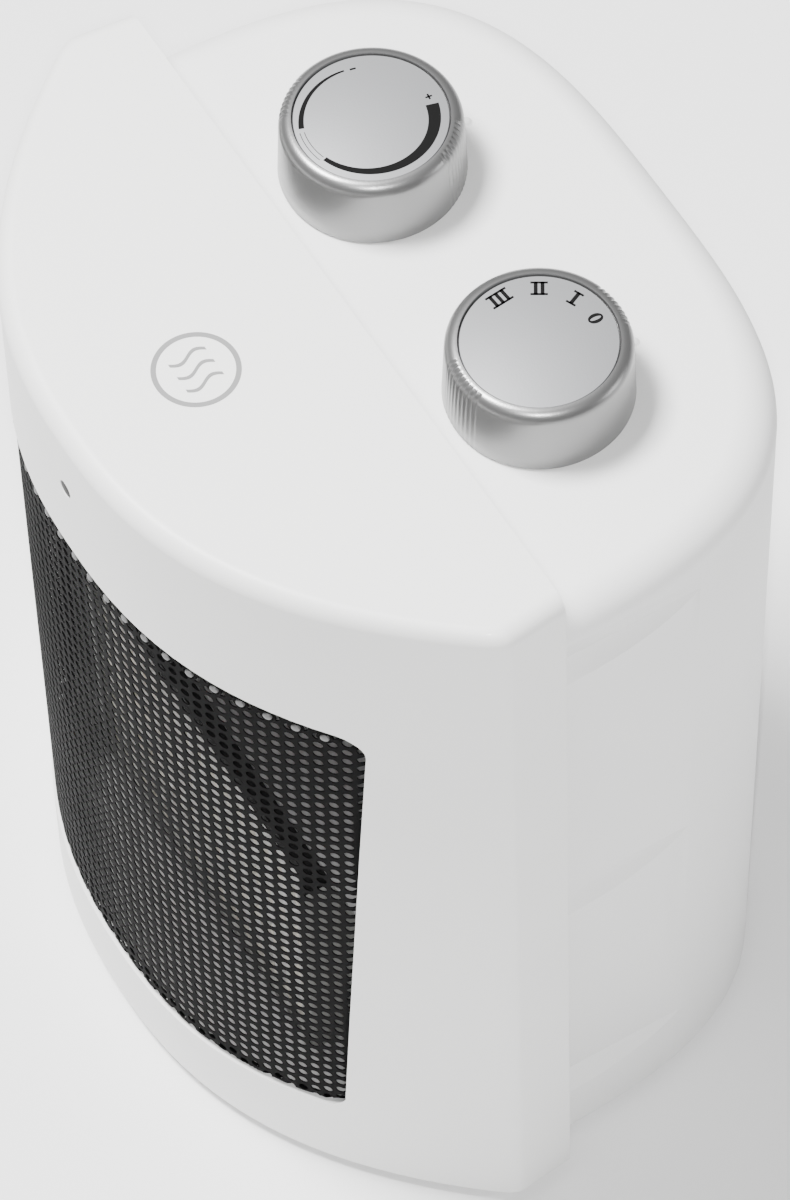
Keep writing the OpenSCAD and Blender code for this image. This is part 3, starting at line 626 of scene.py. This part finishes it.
cut(housing, join("deck holes", holes))
tidy_mesh(housing)
soften(housing, 0.4, angle=38)
settle(housing, "housing_white", stands_for=["rear_housing"], even=True)

# %% [markdown]
# The cable gland is a plain bush with a flange. No cord comes out of it here. It is a
# lathe shape, so its half section is drawn once and spun. A section that closes along the
# axis loses that edge first: spun, it would only leave a pile of faces without area.

# %% Turned shapes
def turn(name, section, steps=96):
    """section: closed loop of (radius, height) in mm, spun about the upright axis."""
    bpy.ops.object.select_all(action="DESELECT")
    bpy.ops.mesh.primitive_circle_add(vertices=len(section), fill_type="NOTHING")
    piece = newest(name)
    with editing(piece) as mesh:
        mesh.verts.ensure_lookup_table()
        for v, (r, z) in zip(mesh.verts, section):
            v.co = Vector((r, 0, z)) * MM
        if choose(mesh, mesh.edges, lambda e: all(v.co.x == 0 for v in e.verts)):
            bpy.ops.mesh.delete(type="EDGE_FACE")
        bpy.ops.mesh.select_all(action="SELECT")
        bpy.ops.mesh.spin(steps=steps, angle=2 * math.pi, center=(0, 0, 0), axis=(0, 0, 1))
        bpy.ops.mesh.select_all(action="SELECT")
        bpy.ops.mesh.remove_doubles(threshold=0.001 * MM)
        bpy.ops.mesh.normals_make_consistent(inside=False)
    return piece

gland = turn("cable_gland_bush", [(3.8, 0.4), (4.2, 0), (8.6, 0), (9, 0.4), (9, 2), (6.5, 2),
                                  (6.5, 14), (3.8, 14)])
gland.rotation_euler.x = math.pi / 2
gland.location = Vector((GLAND_X, GLAND_Y + 2.2, GLAND_Z)) * MM
only(gland)
bpy.ops.object.transform_apply(location=True, rotation=True, scale=True)
middle_y = sum(v.co.y for v in gland.data.vertices) / len(gland.data.vertices)
print("gland centred at y", round(middle_y / MM, 2))
settle(gland, "housing_white", stands_for=["cable_gland"])

# %% [markdown]
# A small raised dot on the deck beside each knob is the mark that its scale is read
# against. It is a low dome with a soft foot, turned once and copied.

# %% Index dots
dot = turn("dot", [(0, -0.4), (1.3, -0.4), (1.3, 0), (1.05, 0.12), (0.9, 0.35), (0.6, 0.58),
                   (0.3, 0.67), (0, 0.7)], steps=32)
DOT_BEHIND = 23.0
dots = [duplicate(dot, "dot copy", (side * KNOB_X, KNOB_Y + DOT_BEHIND, DECK_Z))
        for side in (-1, 1)]
bpy.data.objects.remove(dot, do_unlink=True)
settle(join("index_dots", dots), "housing_white")

# %% [markdown]
# ## The grille
#
# A dark enamelled steel sheet with round holes in staggered columns, bent to the bow and
# clamped behind the cover's lip. More than two thousand holes would be slow to cut, so one
# cell is modelled and repeated: a hole of twelve sides in a small hexagon, then its
# neighbour column half a step higher. Two array modifiers lay the pair out flat. After
# that, every point moves from the flat sheet onto the bow, measured along the arc, so
# that the holes keep their spacing round the bend. The thickness comes last.

# %% One pair of cells
PITCH_X, PITCH_Z, HOLE_R = 3.12, 3.41, 1.16
HOLE_SIDES = 12

def cell_border():
    """Six corners of the cell and the middles between them, one for each hole point."""
    h = PITCH_Z / 2
    wide = (PITCH_X ** 2 + h ** 2) / (2 * PITCH_X)
    slim = (PITCH_X ** 2 - h ** 2) / (2 * PITCH_X)
    corners = [(wide, 0), (slim, h), (-slim, h), (-wide, 0), (-slim, -h), (slim, -h)]
    border = []
    for here, after in zip(corners, corners[1:] + corners[:1]):
        border += [here, ((here[0] + after[0]) / 2, (here[1] + after[1]) / 2)]
    return border

def cell(name, x, z):
    border = cell_border()
    bpy.ops.object.select_all(action="DESELECT")
    bpy.ops.mesh.primitive_circle_add(vertices=HOLE_SIDES, fill_type="NOTHING")
    piece = newest(name)
    with editing(piece) as mesh:
        mesh.verts.ensure_lookup_table()
        step = mesh.verts.layers.int.new("step")
        for i, v in enumerate(mesh.verts):
            a = 2 * math.pi * i / HOLE_SIDES
            v.co = Vector((x + HOLE_R * math.cos(a), 0, z + HOLE_R * math.sin(a))) * MM
            v[step] = i
        bpy.ops.mesh.select_all(action="SELECT")
        bpy.ops.mesh.extrude_region_move()
        mesh = bmesh.from_edit_mesh(piece.data)
        step = mesh.verts.layers.int["step"]
        for v in mesh.verts:
            if v.select:
                dx, dz = border[v[step]]
                v.co = Vector((x + dx, 0, z + dz)) * MM
    return piece

pair = join("grille_sheet", [cell("a", 0, 0), cell("b", PITCH_X, PITCH_Z / 2)])
print("two cells:", len(pair.data.polygons), "faces")

# %% [markdown]
# Two arrays repeat the pair, first sideways, then upwards, and merge the shared border
# points. The flat sheet is then trimmed to its height with two bisects.

# %% Lay the cells out flat
SHEET_LOW, SHEET_HIGH, SHEET_HALF = 21.5, 191.5, 73.0
SHEET_T = 0.28
PAIRS = 26
HOLE_ROWS = 51
modify(pair, "ARRAY", count=PAIRS, use_relative_offset=False, use_constant_offset=True,
       constant_offset_displace=(2 * PITCH_X * MM, 0, 0), use_merge_vertices=True,
       merge_threshold=0.01 * MM)
modify(pair, "ARRAY", count=HOLE_ROWS, use_relative_offset=False, use_constant_offset=True,
       constant_offset_displace=(0, 0, PITCH_Z * MM), use_merge_vertices=True,
       merge_threshold=0.01 * MM)
sheet = pair
sheet.location = (-(PAIRS - 0.5) * PITCH_X * MM, 0, (SHEET_LOW - 0.5) * MM)
only(sheet)
bpy.ops.object.transform_apply(location=True, rotation=True, scale=True)
for height, below in ((SHEET_LOW, True), (SHEET_HIGH, False)):
    with editing(sheet):
        bpy.ops.mesh.select_all(action="SELECT")
        bpy.ops.mesh.bisect(plane_co=(0, 0, height * MM), plane_no=(0, 0, 1),
                            clear_inner=below, clear_outer=not below)
print("flat sheet:", size_of(sheet), "mm,", len(sheet.data.polygons), "faces")

# %% [markdown]
# The sheet fills the opening almost flush with the white cover, and its rim steps back
# behind the lip. So each point looks up how far inside the opening it lies: the first
# millimetre or so is the step, everything further in is the flush field.

# %% Bend the sheet onto the bow
FLUSH, BEHIND = 0.75, 2.75
MID_HALF = rear_half(105) + SPLAY
ARC_STEP = 0.5
arc = [(0.0, 0.0)]
while arc[-1][1] < SHEET_HALF + 2:
    x = arc[-1][1]
    rise = bow_y(x + ARC_STEP, MID_HALF, 0) - bow_y(x, MID_HALF, 0)
    arc.append((arc[-1][0] + math.hypot(ARC_STEP, rise), x + ARC_STEP))

def across(distance):
    """x of the point that lies this far from the middle, measured round the bow."""
    far = min(abs(distance), arc[-1][0] - 0.001)
    index = next(i for i in range(len(arc) - 1) if arc[i + 1][0] >= far)
    (d0, x0), (d1, x1) = arc[index], arc[index + 1]
    return math.copysign(x0 + (x1 - x0) * (far - d0) / (d1 - d0), distance)

def inside_by(x, z):
    """How far a point lies inside the opening, negative outside it."""
    dx = open_half(z) - abs(x)
    dz = min(open_top(x) - z, z - open_foot(x))
    if dx < OPEN_R and dz < OPEN_R:
        return OPEN_R - math.hypot(OPEN_R - dx, OPEN_R - dz)
    return min(dx, dz)

STEP_START, STEP_WIDE = 0.25, 1.1

def sheet_inset(x, z):
    t = min(1.0, max(0.0, (inside_by(x, z) - STEP_START) / STEP_WIDE))
    return BEHIND + (FLUSH - BEHIND) * t * t * (3 - 2 * t)

with editing(sheet) as mesh:
    known = {}
    for v in mesh.verts:
        key = round(v.co.x / MM, 3)
        if key not in known:
            known[key] = across(key)
        x, z = known[key], v.co.z / MM
        inset = sheet_inset(x, z)
        v.co.y = bow_y(x, rear_half(z) + SPLAY - inset, inset) * MM
        v.co.x = x * MM
    choose(mesh, mesh.verts, lambda v: abs(v.co.x) > SHEET_HALF * MM)
    bpy.ops.mesh.delete(type="VERT")
modify(sheet, "SOLIDIFY", thickness=SHEET_T * MM, offset=0.0)
print("bent sheet:", size_of(sheet), "mm,", len(sheet.data.polygons), "faces")
settle(sheet, "grille_black", stands_for=["front_grille"])

# %% [markdown]
# Along its upper edge the sheet carries a row of small bright studs, one at every second
# column, each in a dark dished ring. One stud is turned, then copied round the bow and
# tilted to face straight out of the sheet.

# %% Studs along the top edge
def face_out(piece, x, z):
    half = rear_half(z) + SPLAY - FLUSH
    slope = (bow_y(x + 0.1, half, FLUSH) - bow_y(x - 0.1, half, FLUSH)) / 0.2
    out = Vector((slope, -1, 0)).normalized()
    spot = Vector((x, bow_y(x, half, FLUSH), z))
    piece.matrix_world = (Matrix.Translation(spot * MM)
                          @ out.to_track_quat("Z", "Y").to_matrix().to_4x4())

dome = turn("stud", [(0, -0.3), (1.1, -0.3), (1.1, 0.1), (0.95, 0.4),
                     (0.5, 0.6), (0, 0.66)], steps=16)
ring = turn("ring", [(1.1, -0.3), (1.9, -0.3), (1.9, 0.1), (1.6, 0.25), (1.1, -0.1)],
            steps=16)
STUDS_EACH_SIDE = 11
STUD_DROP = 2.9

def studs_along(name, source):
    copies = []
    for i in range(-STUDS_EACH_SIDE, STUDS_EACH_SIDE + 1):
        x = across(i * 2 * PITCH_X)
        copies.append(duplicate(source, "stud copy"))
        face_out(copies[-1], x, open_top(x) - STUD_DROP)
    return join(name, copies)

studs = studs_along("grille_studs", dome)
rings = studs_along("grille_stud_rings", ring)
for source in (dome, ring):
    bpy.data.objects.remove(source, do_unlink=True)
settle(studs, "grille_black",
       look=finish("Stud metal", (0.14, 0.14, 0.14), 0.5, metallic=0.3, depth=0.05))
settle(rings, "grille_black")

# %% [markdown]
# ## The two controls
#
# Both knobs are the same moulding in silver paint: a slightly tapered cup with a generous
# round rim, a sunk disc that carries the scale, and two patches of fine grip flutes on
# opposite sides. The cup is turned from its section in 720 steps, so that there are
# points enough for the flutes. They are then pressed in by moving the points of the wall
# inwards in a cosine wave, deepest at the rim and fading to the foot.

# %% One knob
KNOB_FOOT_Z, KNOB_TOP_Z = 218.0, 235.6
KNOB_R, KNOB_RIM_R, DISC_R = 20.0, 19.4, 16.4
RIM_ROUND = 2.9
RECESS = 1.7
FLUTE_DEGREES = 4.0
FLUTE_DEPTH = 0.6
PATCH_HALF = 18.0

def knob_section():
    rim = [(KNOB_RIM_R - RIM_ROUND * (1 - math.cos(a)) * 0.93,
            KNOB_TOP_Z - RIM_ROUND * (1 - math.sin(a)))
           for a in (math.pi / 2 * k / 10 for k in range(11))]
    wall = [(KNOB_R - 0.6 * t, KNOB_FOOT_Z + (KNOB_TOP_Z - RIM_ROUND - KNOB_FOOT_Z) * t)
            for t in (0.03, 0.25, 0.5, 0.75, 0.92)]
    floor_z = KNOB_TOP_Z - RECESS
    return [(KNOB_R - 0.25, KNOB_FOOT_Z)] + wall + rim + [
        (DISC_R + 0.24, KNOB_TOP_Z - 0.15), (DISC_R + 0.24, floor_z), (3.1, floor_z),
        (3.1, KNOB_FOOT_Z + 8), (KNOB_R - 2.2, KNOB_FOOT_Z + 8), (KNOB_R - 2.2, KNOB_FOOT_Z)]

knob = turn("thermostat_cap", knob_section(), steps=720)
print("knob:", size_of(knob), "mm,", len(knob.data.polygons), "faces")

def press_flutes(piece, patches):
    with editing(piece) as mesh:
        for v in mesh.verts:
            x, y, z = v.co / MM
            r = math.hypot(x, y)
            if r < DISC_R + 1.4:
                continue
            angle = math.degrees(math.atan2(y, x))
            off = min(abs((angle - p + 180) % 360 - 180) for p in patches)
            if off > PATCH_HALF:
                continue
            wave = 0.5 - 0.5 * math.cos(math.radians(360 * angle / FLUTE_DEGREES))
            high = (z - KNOB_FOOT_Z) / (KNOB_TOP_Z - KNOB_FOOT_Z)
            ends = min(1.0, (PATCH_HALF - off) / 2.0)
            depth = FLUTE_DEPTH * wave * ends * (0.12 + 0.88 * high ** 5)
            v.co.x -= x / r * depth * MM
            v.co.y -= y / r * depth * MM

second = duplicate(knob, "selector_cap")
press_flutes(knob, (40, 220))
press_flutes(second, (91, 271))
for piece, side, part, body in ((knob, -1, "thermostat_knob", "thermostat_control"),
                                (second, 1, "selector_knob", "selector_control")):
    piece.location = Vector((side * KNOB_X, KNOB_Y, 0)) * MM
    settle(piece, "knob_silver", body, [part], angle=40)

# %% [markdown]
# The discs are pressed in with a hair of clearance, which reads as a fine dark line. Their
# edge is broken by two short slopes in the section. One is turned, then copied.

# %% Discs
DISC_SUNK = 0.5
DISC_TOP = KNOB_TOP_Z - DISC_SUNK
DISC_EDGE = DISC_R - 0.1
disc = turn("disc", [(0, -1.1), (DISC_EDGE, -1.1), (DISC_EDGE, -0.2), (DISC_EDGE - 0.06, -0.06),
                     (DISC_EDGE - 0.2, 0), (0, 0)], steps=128)
for side, part, body in ((-1, "thermostat_disc", "thermostat_control"),
                         (1, "selector_disc", "selector_control")):
    face = duplicate(disc, part.replace("disc", "face"), (side * KNOB_X, KNOB_Y, DISC_TOP))
    settle(face, "disc_silver", body, [part])
bpy.data.objects.remove(disc, do_unlink=True)

# %% [markdown]
# ## The printed scales
#
# Pad printing is a film of ink with no thickness to speak of. Each mark is a grid of thin
# faces laid on the disc, bent where it has to be, and raised by three hundredths of a
# millimetre so that it never fights with the face below. The thermostat has a crescent
# that swells from cold to warm, with a minus and a plus at its ends. The selector has 0,
# I, II and III with the heads of the characters outwards.

# %% Ink
ink = finish("Printing ink", (0.004, 0.004, 0.004), 0.7, shine=0.1, depth=0.0, amount=0.0)
FILM = 0.03
INK_Z = DISC_TOP + FILM

def ink_band(name, outline, cells, z=INK_Z):
    """outline(t) gives the two edge points (x, y) in mm for t from 0 to 1."""
    bpy.ops.object.select_all(action="DESELECT")
    bpy.ops.mesh.primitive_grid_add(x_subdivisions=cells, y_subdivisions=1, size=1)
    piece = newest(name)
    with editing(piece) as mesh:
        for v in mesh.verts:
            edges = outline(v.co.x + 0.5)
            x, y = edges[1 if v.co.y > 0 else 0]
            v.co = Vector((x, y, z)) * MM
        bpy.ops.mesh.select_all(action="SELECT")
        bpy.ops.mesh.normals_make_consistent(inside=False)
        mesh = bmesh.from_edit_mesh(piece.data)
        mesh.faces.ensure_lookup_table()
        if mesh.faces[0].normal.z < 0:
            bpy.ops.mesh.flip_normals()
    return piece

def polar(centre, degrees, radius):
    a = math.radians(degrees)
    return centre[0] + radius * math.cos(a), centre[1] + radius * math.sin(a)

def arc_band(name, centre, start, end, inner, outer, cells=48, z=INK_Z):
    """inner and outer are each a pair of radii, at the start and at the end."""
    def outline(t):
        angle = start + (end - start) * t
        return [polar(centre, angle, r[0] + (r[1] - r[0]) * t) for r in (inner, outer)]
    return ink_band(name, outline, cells, z)

def stroke(name, centre, degrees, radius, along, across_by, shift=0.0):
    """A straight bar at that angle: along the radius and across it, both in mm."""
    a = math.radians(degrees)
    out = Vector((math.cos(a), math.sin(a)))
    side = Vector((-out.y, out.x))
    middle = Vector(centre) + out * radius + side * shift
    def outline(t):
        point = middle + out * (t - 0.5) * along
        return [tuple(point - side * across_by / 2), tuple(point + side * across_by / 2)]
    return ink_band(name, outline, 2)

warm = (-KNOB_X, KNOB_Y)
thermostat_marks = [
    arc_band("thin", warm, 174, 250, (13.3, 14.1), (13.7, 15.3)),
    arc_band("faint in", warm, 254, 285, (14.25, 14.05), (14.4, 14.2)),
    arc_band("faint out", warm, 254, 285, (15.2, 15.1), (15.35, 15.25)),
    arc_band("wide", warm, 287, 434, (13.7, 11.7), (14.75, 14.5), 72),
    stroke("minus", warm, 166, 13.3, 0.45, 1.3),
    stroke("plus bar", warm, 83, 13.1, 0.4, 1.5),
    stroke("plus stem", warm, 83, 13.1, 1.5, 0.4),
]
settle(join("thermostat_marks", thermostat_marks), "disc_silver", "thermostat_control",
       look=ink)

# %% [markdown]
# The numerals are drawn from bars too: stems with a serif across each end, and an
# upright ring for the zero. No font is needed, and each character turns with its angle.

# %% Numerals
SERIF = 0.5
choice = (KNOB_X, KNOB_Y)

def roman(count, degrees, radius, tall, stem, gap):
    parts = []
    for i in range(count):
        shift = (i - (count - 1) / 2) * gap
        parts.append(stroke("stem", choice, degrees, radius, tall, stem, shift))
    wide = (count - 1) * gap + 2.1 * stem + 0.5
    for end in (-1, 1):
        parts.append(stroke("serif", choice, degrees, radius + end * (tall - SERIF) / 2,
                            SERIF, wide))
    return parts

def zero(degrees, radius, tall, wide, thick):
    a = math.radians(degrees)
    out = Vector((math.cos(a), math.sin(a)))
    side = Vector((-out.y, out.x))
    middle = Vector(choice) + out * radius
    def outline(t):
        turned = 2 * math.pi * t
        return [tuple(middle + out * math.cos(turned) * (tall / 2 - thick[0] * k)
                      + side * math.sin(turned) * (wide / 2 - thick[1] * k)) for k in (1, 0)]
    return [ink_band("zero", outline, 40)]

numerals = zero(85, 12.8, 3.3, 2.4, (0.45, 0.8))
numerals += roman(1, 114.3, 12.95, 3.5, 0.85, 0)
numerals += roman(2, 148.5, 13.2, 3.4, 0.8, 1.4)
numerals += roman(3, 185.5, 13.45, 3.3, 0.8, 1.45)
settle(join("selector_marks", numerals), "disc_silver", "selector_control", look=ink)

# %% [markdown]
# ## The sign on the cover
#
# A grey sign is printed on the top of the cover. This one is a plain ring with three
# rising waves, a general sign for warm air.

# %% Warm-air sign
SIGN_Z = TOP_Z + FILM
sign_at = (0.4, -40.55)
sign_ink = finish("Sign ink", (0.20, 0.20, 0.20), 0.5, depth=0.0, amount=0.0)

WAVE_TALL, WAVE_SWING, WAVE_WIDE = 8.6, 0.9, 0.85

def wave(name, offset):
    def outline(t):
        x = sign_at[0] + offset + WAVE_SWING * math.sin(2 * math.pi * t)
        y = sign_at[1] + (t - 0.5) * WAVE_TALL
        return [(x - WAVE_WIDE / 2, y), (x + WAVE_WIDE / 2, y)]
    return ink_band(name, outline, 24, SIGN_Z)

sign = [arc_band("ring", sign_at, 0, 360, (8.15, 8.15), (9.3, 9.3), 96, SIGN_Z)]
sign += [wave("wave", offset) for offset in (-3.6, 0, 3.6)]
settle(join("warm_air_sign", sign), "cover_white", look=sign_ink)

# %% [markdown]
# ## The indicator window
#
# A small clear-red plug fills the round hole above the grille. Unlit, it looks almost
# black. Its end is a low dome, nearly flush with the cover.

# %% Window plug
plug = turn("indicator_window", [(0, 0), (1.2, 0.02), (1.8, 0.1), (2.04, 0.35), (2.04, 5),
                                 (0, 5)], steps=48)
plug.rotation_euler.x = -math.pi / 2
plug.location = Vector((0, -BACK_Y + 0.01, LENS_Z)) * MM
settle(plug, "lens_red", stands_for=["indicator_lens"])

# %% [markdown]
# ## Feet
#
# Four rubber feet with a softly rounded sole hold the heater off the table. The real ones
# are pushed through the base plate on a small stem. One is turned, then copied.

# %% Rubber feet
FEET = [(-62, -35.15), (62, -35.15), (-62, 38.15), (62, 38.15)]
foot = turn("foot", [(0, 0.25), (4.6, 0.25), (5.2, 0), (6.3, 0), (6.8, 0.25), (7, 0.8),
                     (7, 2.6), (6.7, 3), (2.5, 3), (2.5, 6.5), (0, 6.5)], steps=48)
feet = [duplicate(foot, "foot copy", (x, y, 0)) for x, y in FEET]
bpy.data.objects.remove(foot, do_unlink=True)
settle(join("feet_rubber", feet), "rubber", stands_for=["rubber_feet"])

# %% [markdown]
# ## The parts that stay as they are
#
# Everything inside keeps the exact shape it has in the frame: ceramic bars, fins, frame,
# duct, fan, motor, switches and wires. They only need their finishes.

# %% Finishes for the inner parts
FINISH_OF = {
    "base_plate": "base_grey", "indicator_lamp": "lamp_orange", "heater_frame": "frame_black",
    "ceramic_bars": "ptc_ceramic", "heater_fins": "fin_aluminium",
    "heater_terminals": "terminal_brass", "thermal_cutout": "steel", "air_duct": "duct_grey",
    "fan_motor": "motor_steel", "motor_bearing": "bearing_bronze", "motor_screws": "steel",
    "fan_impeller": "fan_nylon", "motor_shaft": "steel", "thermostat_body": "control_tan",
    "selector_body": "control_black", "control_screws": "steel",
    "terminal_block": "block_ivory", "tip_switch": "control_black",
    "tip_plunger": "control_black", "plunger_spring": "spring_steel", "base_screws": "steel",
    "lead_wires": "wire_red", "thermostat_shaft": "steel", "selector_shaft": "steel",
}
for name, slot in FINISH_OF.items():
    for place in nodes[name].material_slots:
        place.material = LOOKS[slot]
print(len(FINISH_OF), "inner parts finished")

# %% [markdown]
# The block's frame is coloured by height: black on its top rail, grey on its sides and foot,
# darker than the fins they hold. One material paints both: the height of the point, read from
# its
# Object coordinates, picks the colour below or above the rail's lower edge.

# %% Frame coloured by height
RAIL_Z = 95.0
frame_look = LOOKS["frame_black"]
tree = frame_look.node_tree
spot = tree.nodes.new("ShaderNodeTexCoord")
split = tree.nodes.new("ShaderNodeSeparateXYZ")
above = tree.nodes.new("ShaderNodeMath")
above.operation = "GREATER_THAN"
above.inputs[1].default_value = RAIL_Z * MM
paint = tree.nodes.new("ShaderNodeMix")
paint.data_type = "RGBA"
paint.inputs["A"].default_value = (0.30, 0.30, 0.29, 1)
shader = tree.nodes["Principled BSDF"]
black = shader.inputs["Base Color"].links[0].from_socket
tree.links.new(spot.outputs["Object"], split.inputs["Vector"])
tree.links.new(split.outputs["Z"], above.inputs[0])
tree.links.new(above.outputs[0], paint.inputs["Factor"])
tree.links.new(black, paint.inputs["B"])
tree.links.new(paint.outputs["Result"], shader.inputs["Base Color"])
box = [nodes["heater_frame"].matrix_world @ Vector(c) for c in nodes["heater_frame"].bound_box]
print("frame from z", round(min(c.z for c in box) / MM, 1), "to",
      round(max(c.z for c in box) / MM, 1), "mm, black above", RAIL_Z)

# %% [markdown]
# ## Room, light and camera
#
# A pale floor and a weak, even surround, as in a product studio. The floor does much of
# the work: it throws the light from above back onto the upright faces.

# %% Floor and surround
bpy.ops.object.select_all(action="DESELECT")
bpy.ops.mesh.primitive_plane_add(size=8, location=(0, 0, -0.0003))
floor = newest("studio_floor")
floor.data.materials.append(finish("Studio floor", (0.93, 0.93, 0.93), 0.9, depth=0.0,
                                   amount=0.0))
floor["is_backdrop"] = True
world = bpy.data.worlds.new("Studio")
bpy.context.scene.world = world
world.use_nodes = True
world.node_tree.nodes["Background"].inputs["Color"].default_value = (1, 1, 1, 1)
world.node_tree.nodes["Background"].inputs["Strength"].default_value = 0.14

def lamp(name, place, aim, size, power):
    bpy.ops.object.light_add(type="AREA", location=place)
    light = newest(name)
    light.data.shape = "SQUARE"
    light.data.size = size
    light.data.energy = power
    light.rotation_euler = (Vector(place) - Vector(aim)).to_track_quat("Z", "Y").to_euler()
    return light

# %% [markdown]
# The camera stands high in front of the right-hand corner, far away and with a long lens,
# so upright lines stay nearly parallel. Its three axes are given as unit vectors.

# %% Camera
right = Vector((0.513279, 0.858079, -0.015673))
up = Vector((-0.717473, 0.439051, 0.540802))
back = Vector((0.470932, -0.266337, 0.841004))
MIDDLE = (0, 0, 0.12)
bpy.ops.object.camera_add(location=(0.649806, -0.363013, 1.267854))
camera = newest("studio_camera")
turned = Matrix((right, up, back)).transposed().to_4x4()
camera.matrix_world = Matrix.Translation(camera.location) @ turned
camera.data.lens = 186.77
camera.data.sensor_width = 36
bpy.context.scene.camera = camera
print("camera", round((camera.location - Vector(MIDDLE)).length, 3), "m from the heater")

# %% [markdown]
# The overhead light hangs a little to the front left. It gives the top and the floor their
# white and lets the knobs throw soft shadows to the right. A weak one lifts the right-hand
# side. The key light stands right behind the camera. It is the only place from which light
# falls through the grille's holes exactly onto what the camera sees through them, so the
# heating block shows instead of a black hole, and its shadows hide behind the parts.

# %% Lights
behind_camera = camera.location + back * 0.02
lamp("overhead", (-0.5, -0.4, 1.75), MIDDLE, 0.5, 96)
lamp("side", (1.1, 1.3, 0.5), MIDDLE, 0.6, 7)
lamp("key", tuple(behind_camera), MIDDLE, 0.03, 17)

# %% [markdown]
# ## The box at the end
#
# The box of the visible object is printed beside the box of the frame's exact parts. The
# visible object must keep to the box of the exact parts it stands for. A fifth of a
# millimetre is lost at the sides, where the cover's front corners are softened.

# %% Record the sizes and finish
last_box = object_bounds()
for first, last in zip(first_box, last_box):
    print([round(a / MM, 2) for a in first], "->", [round(a / MM, 2) for a in last])
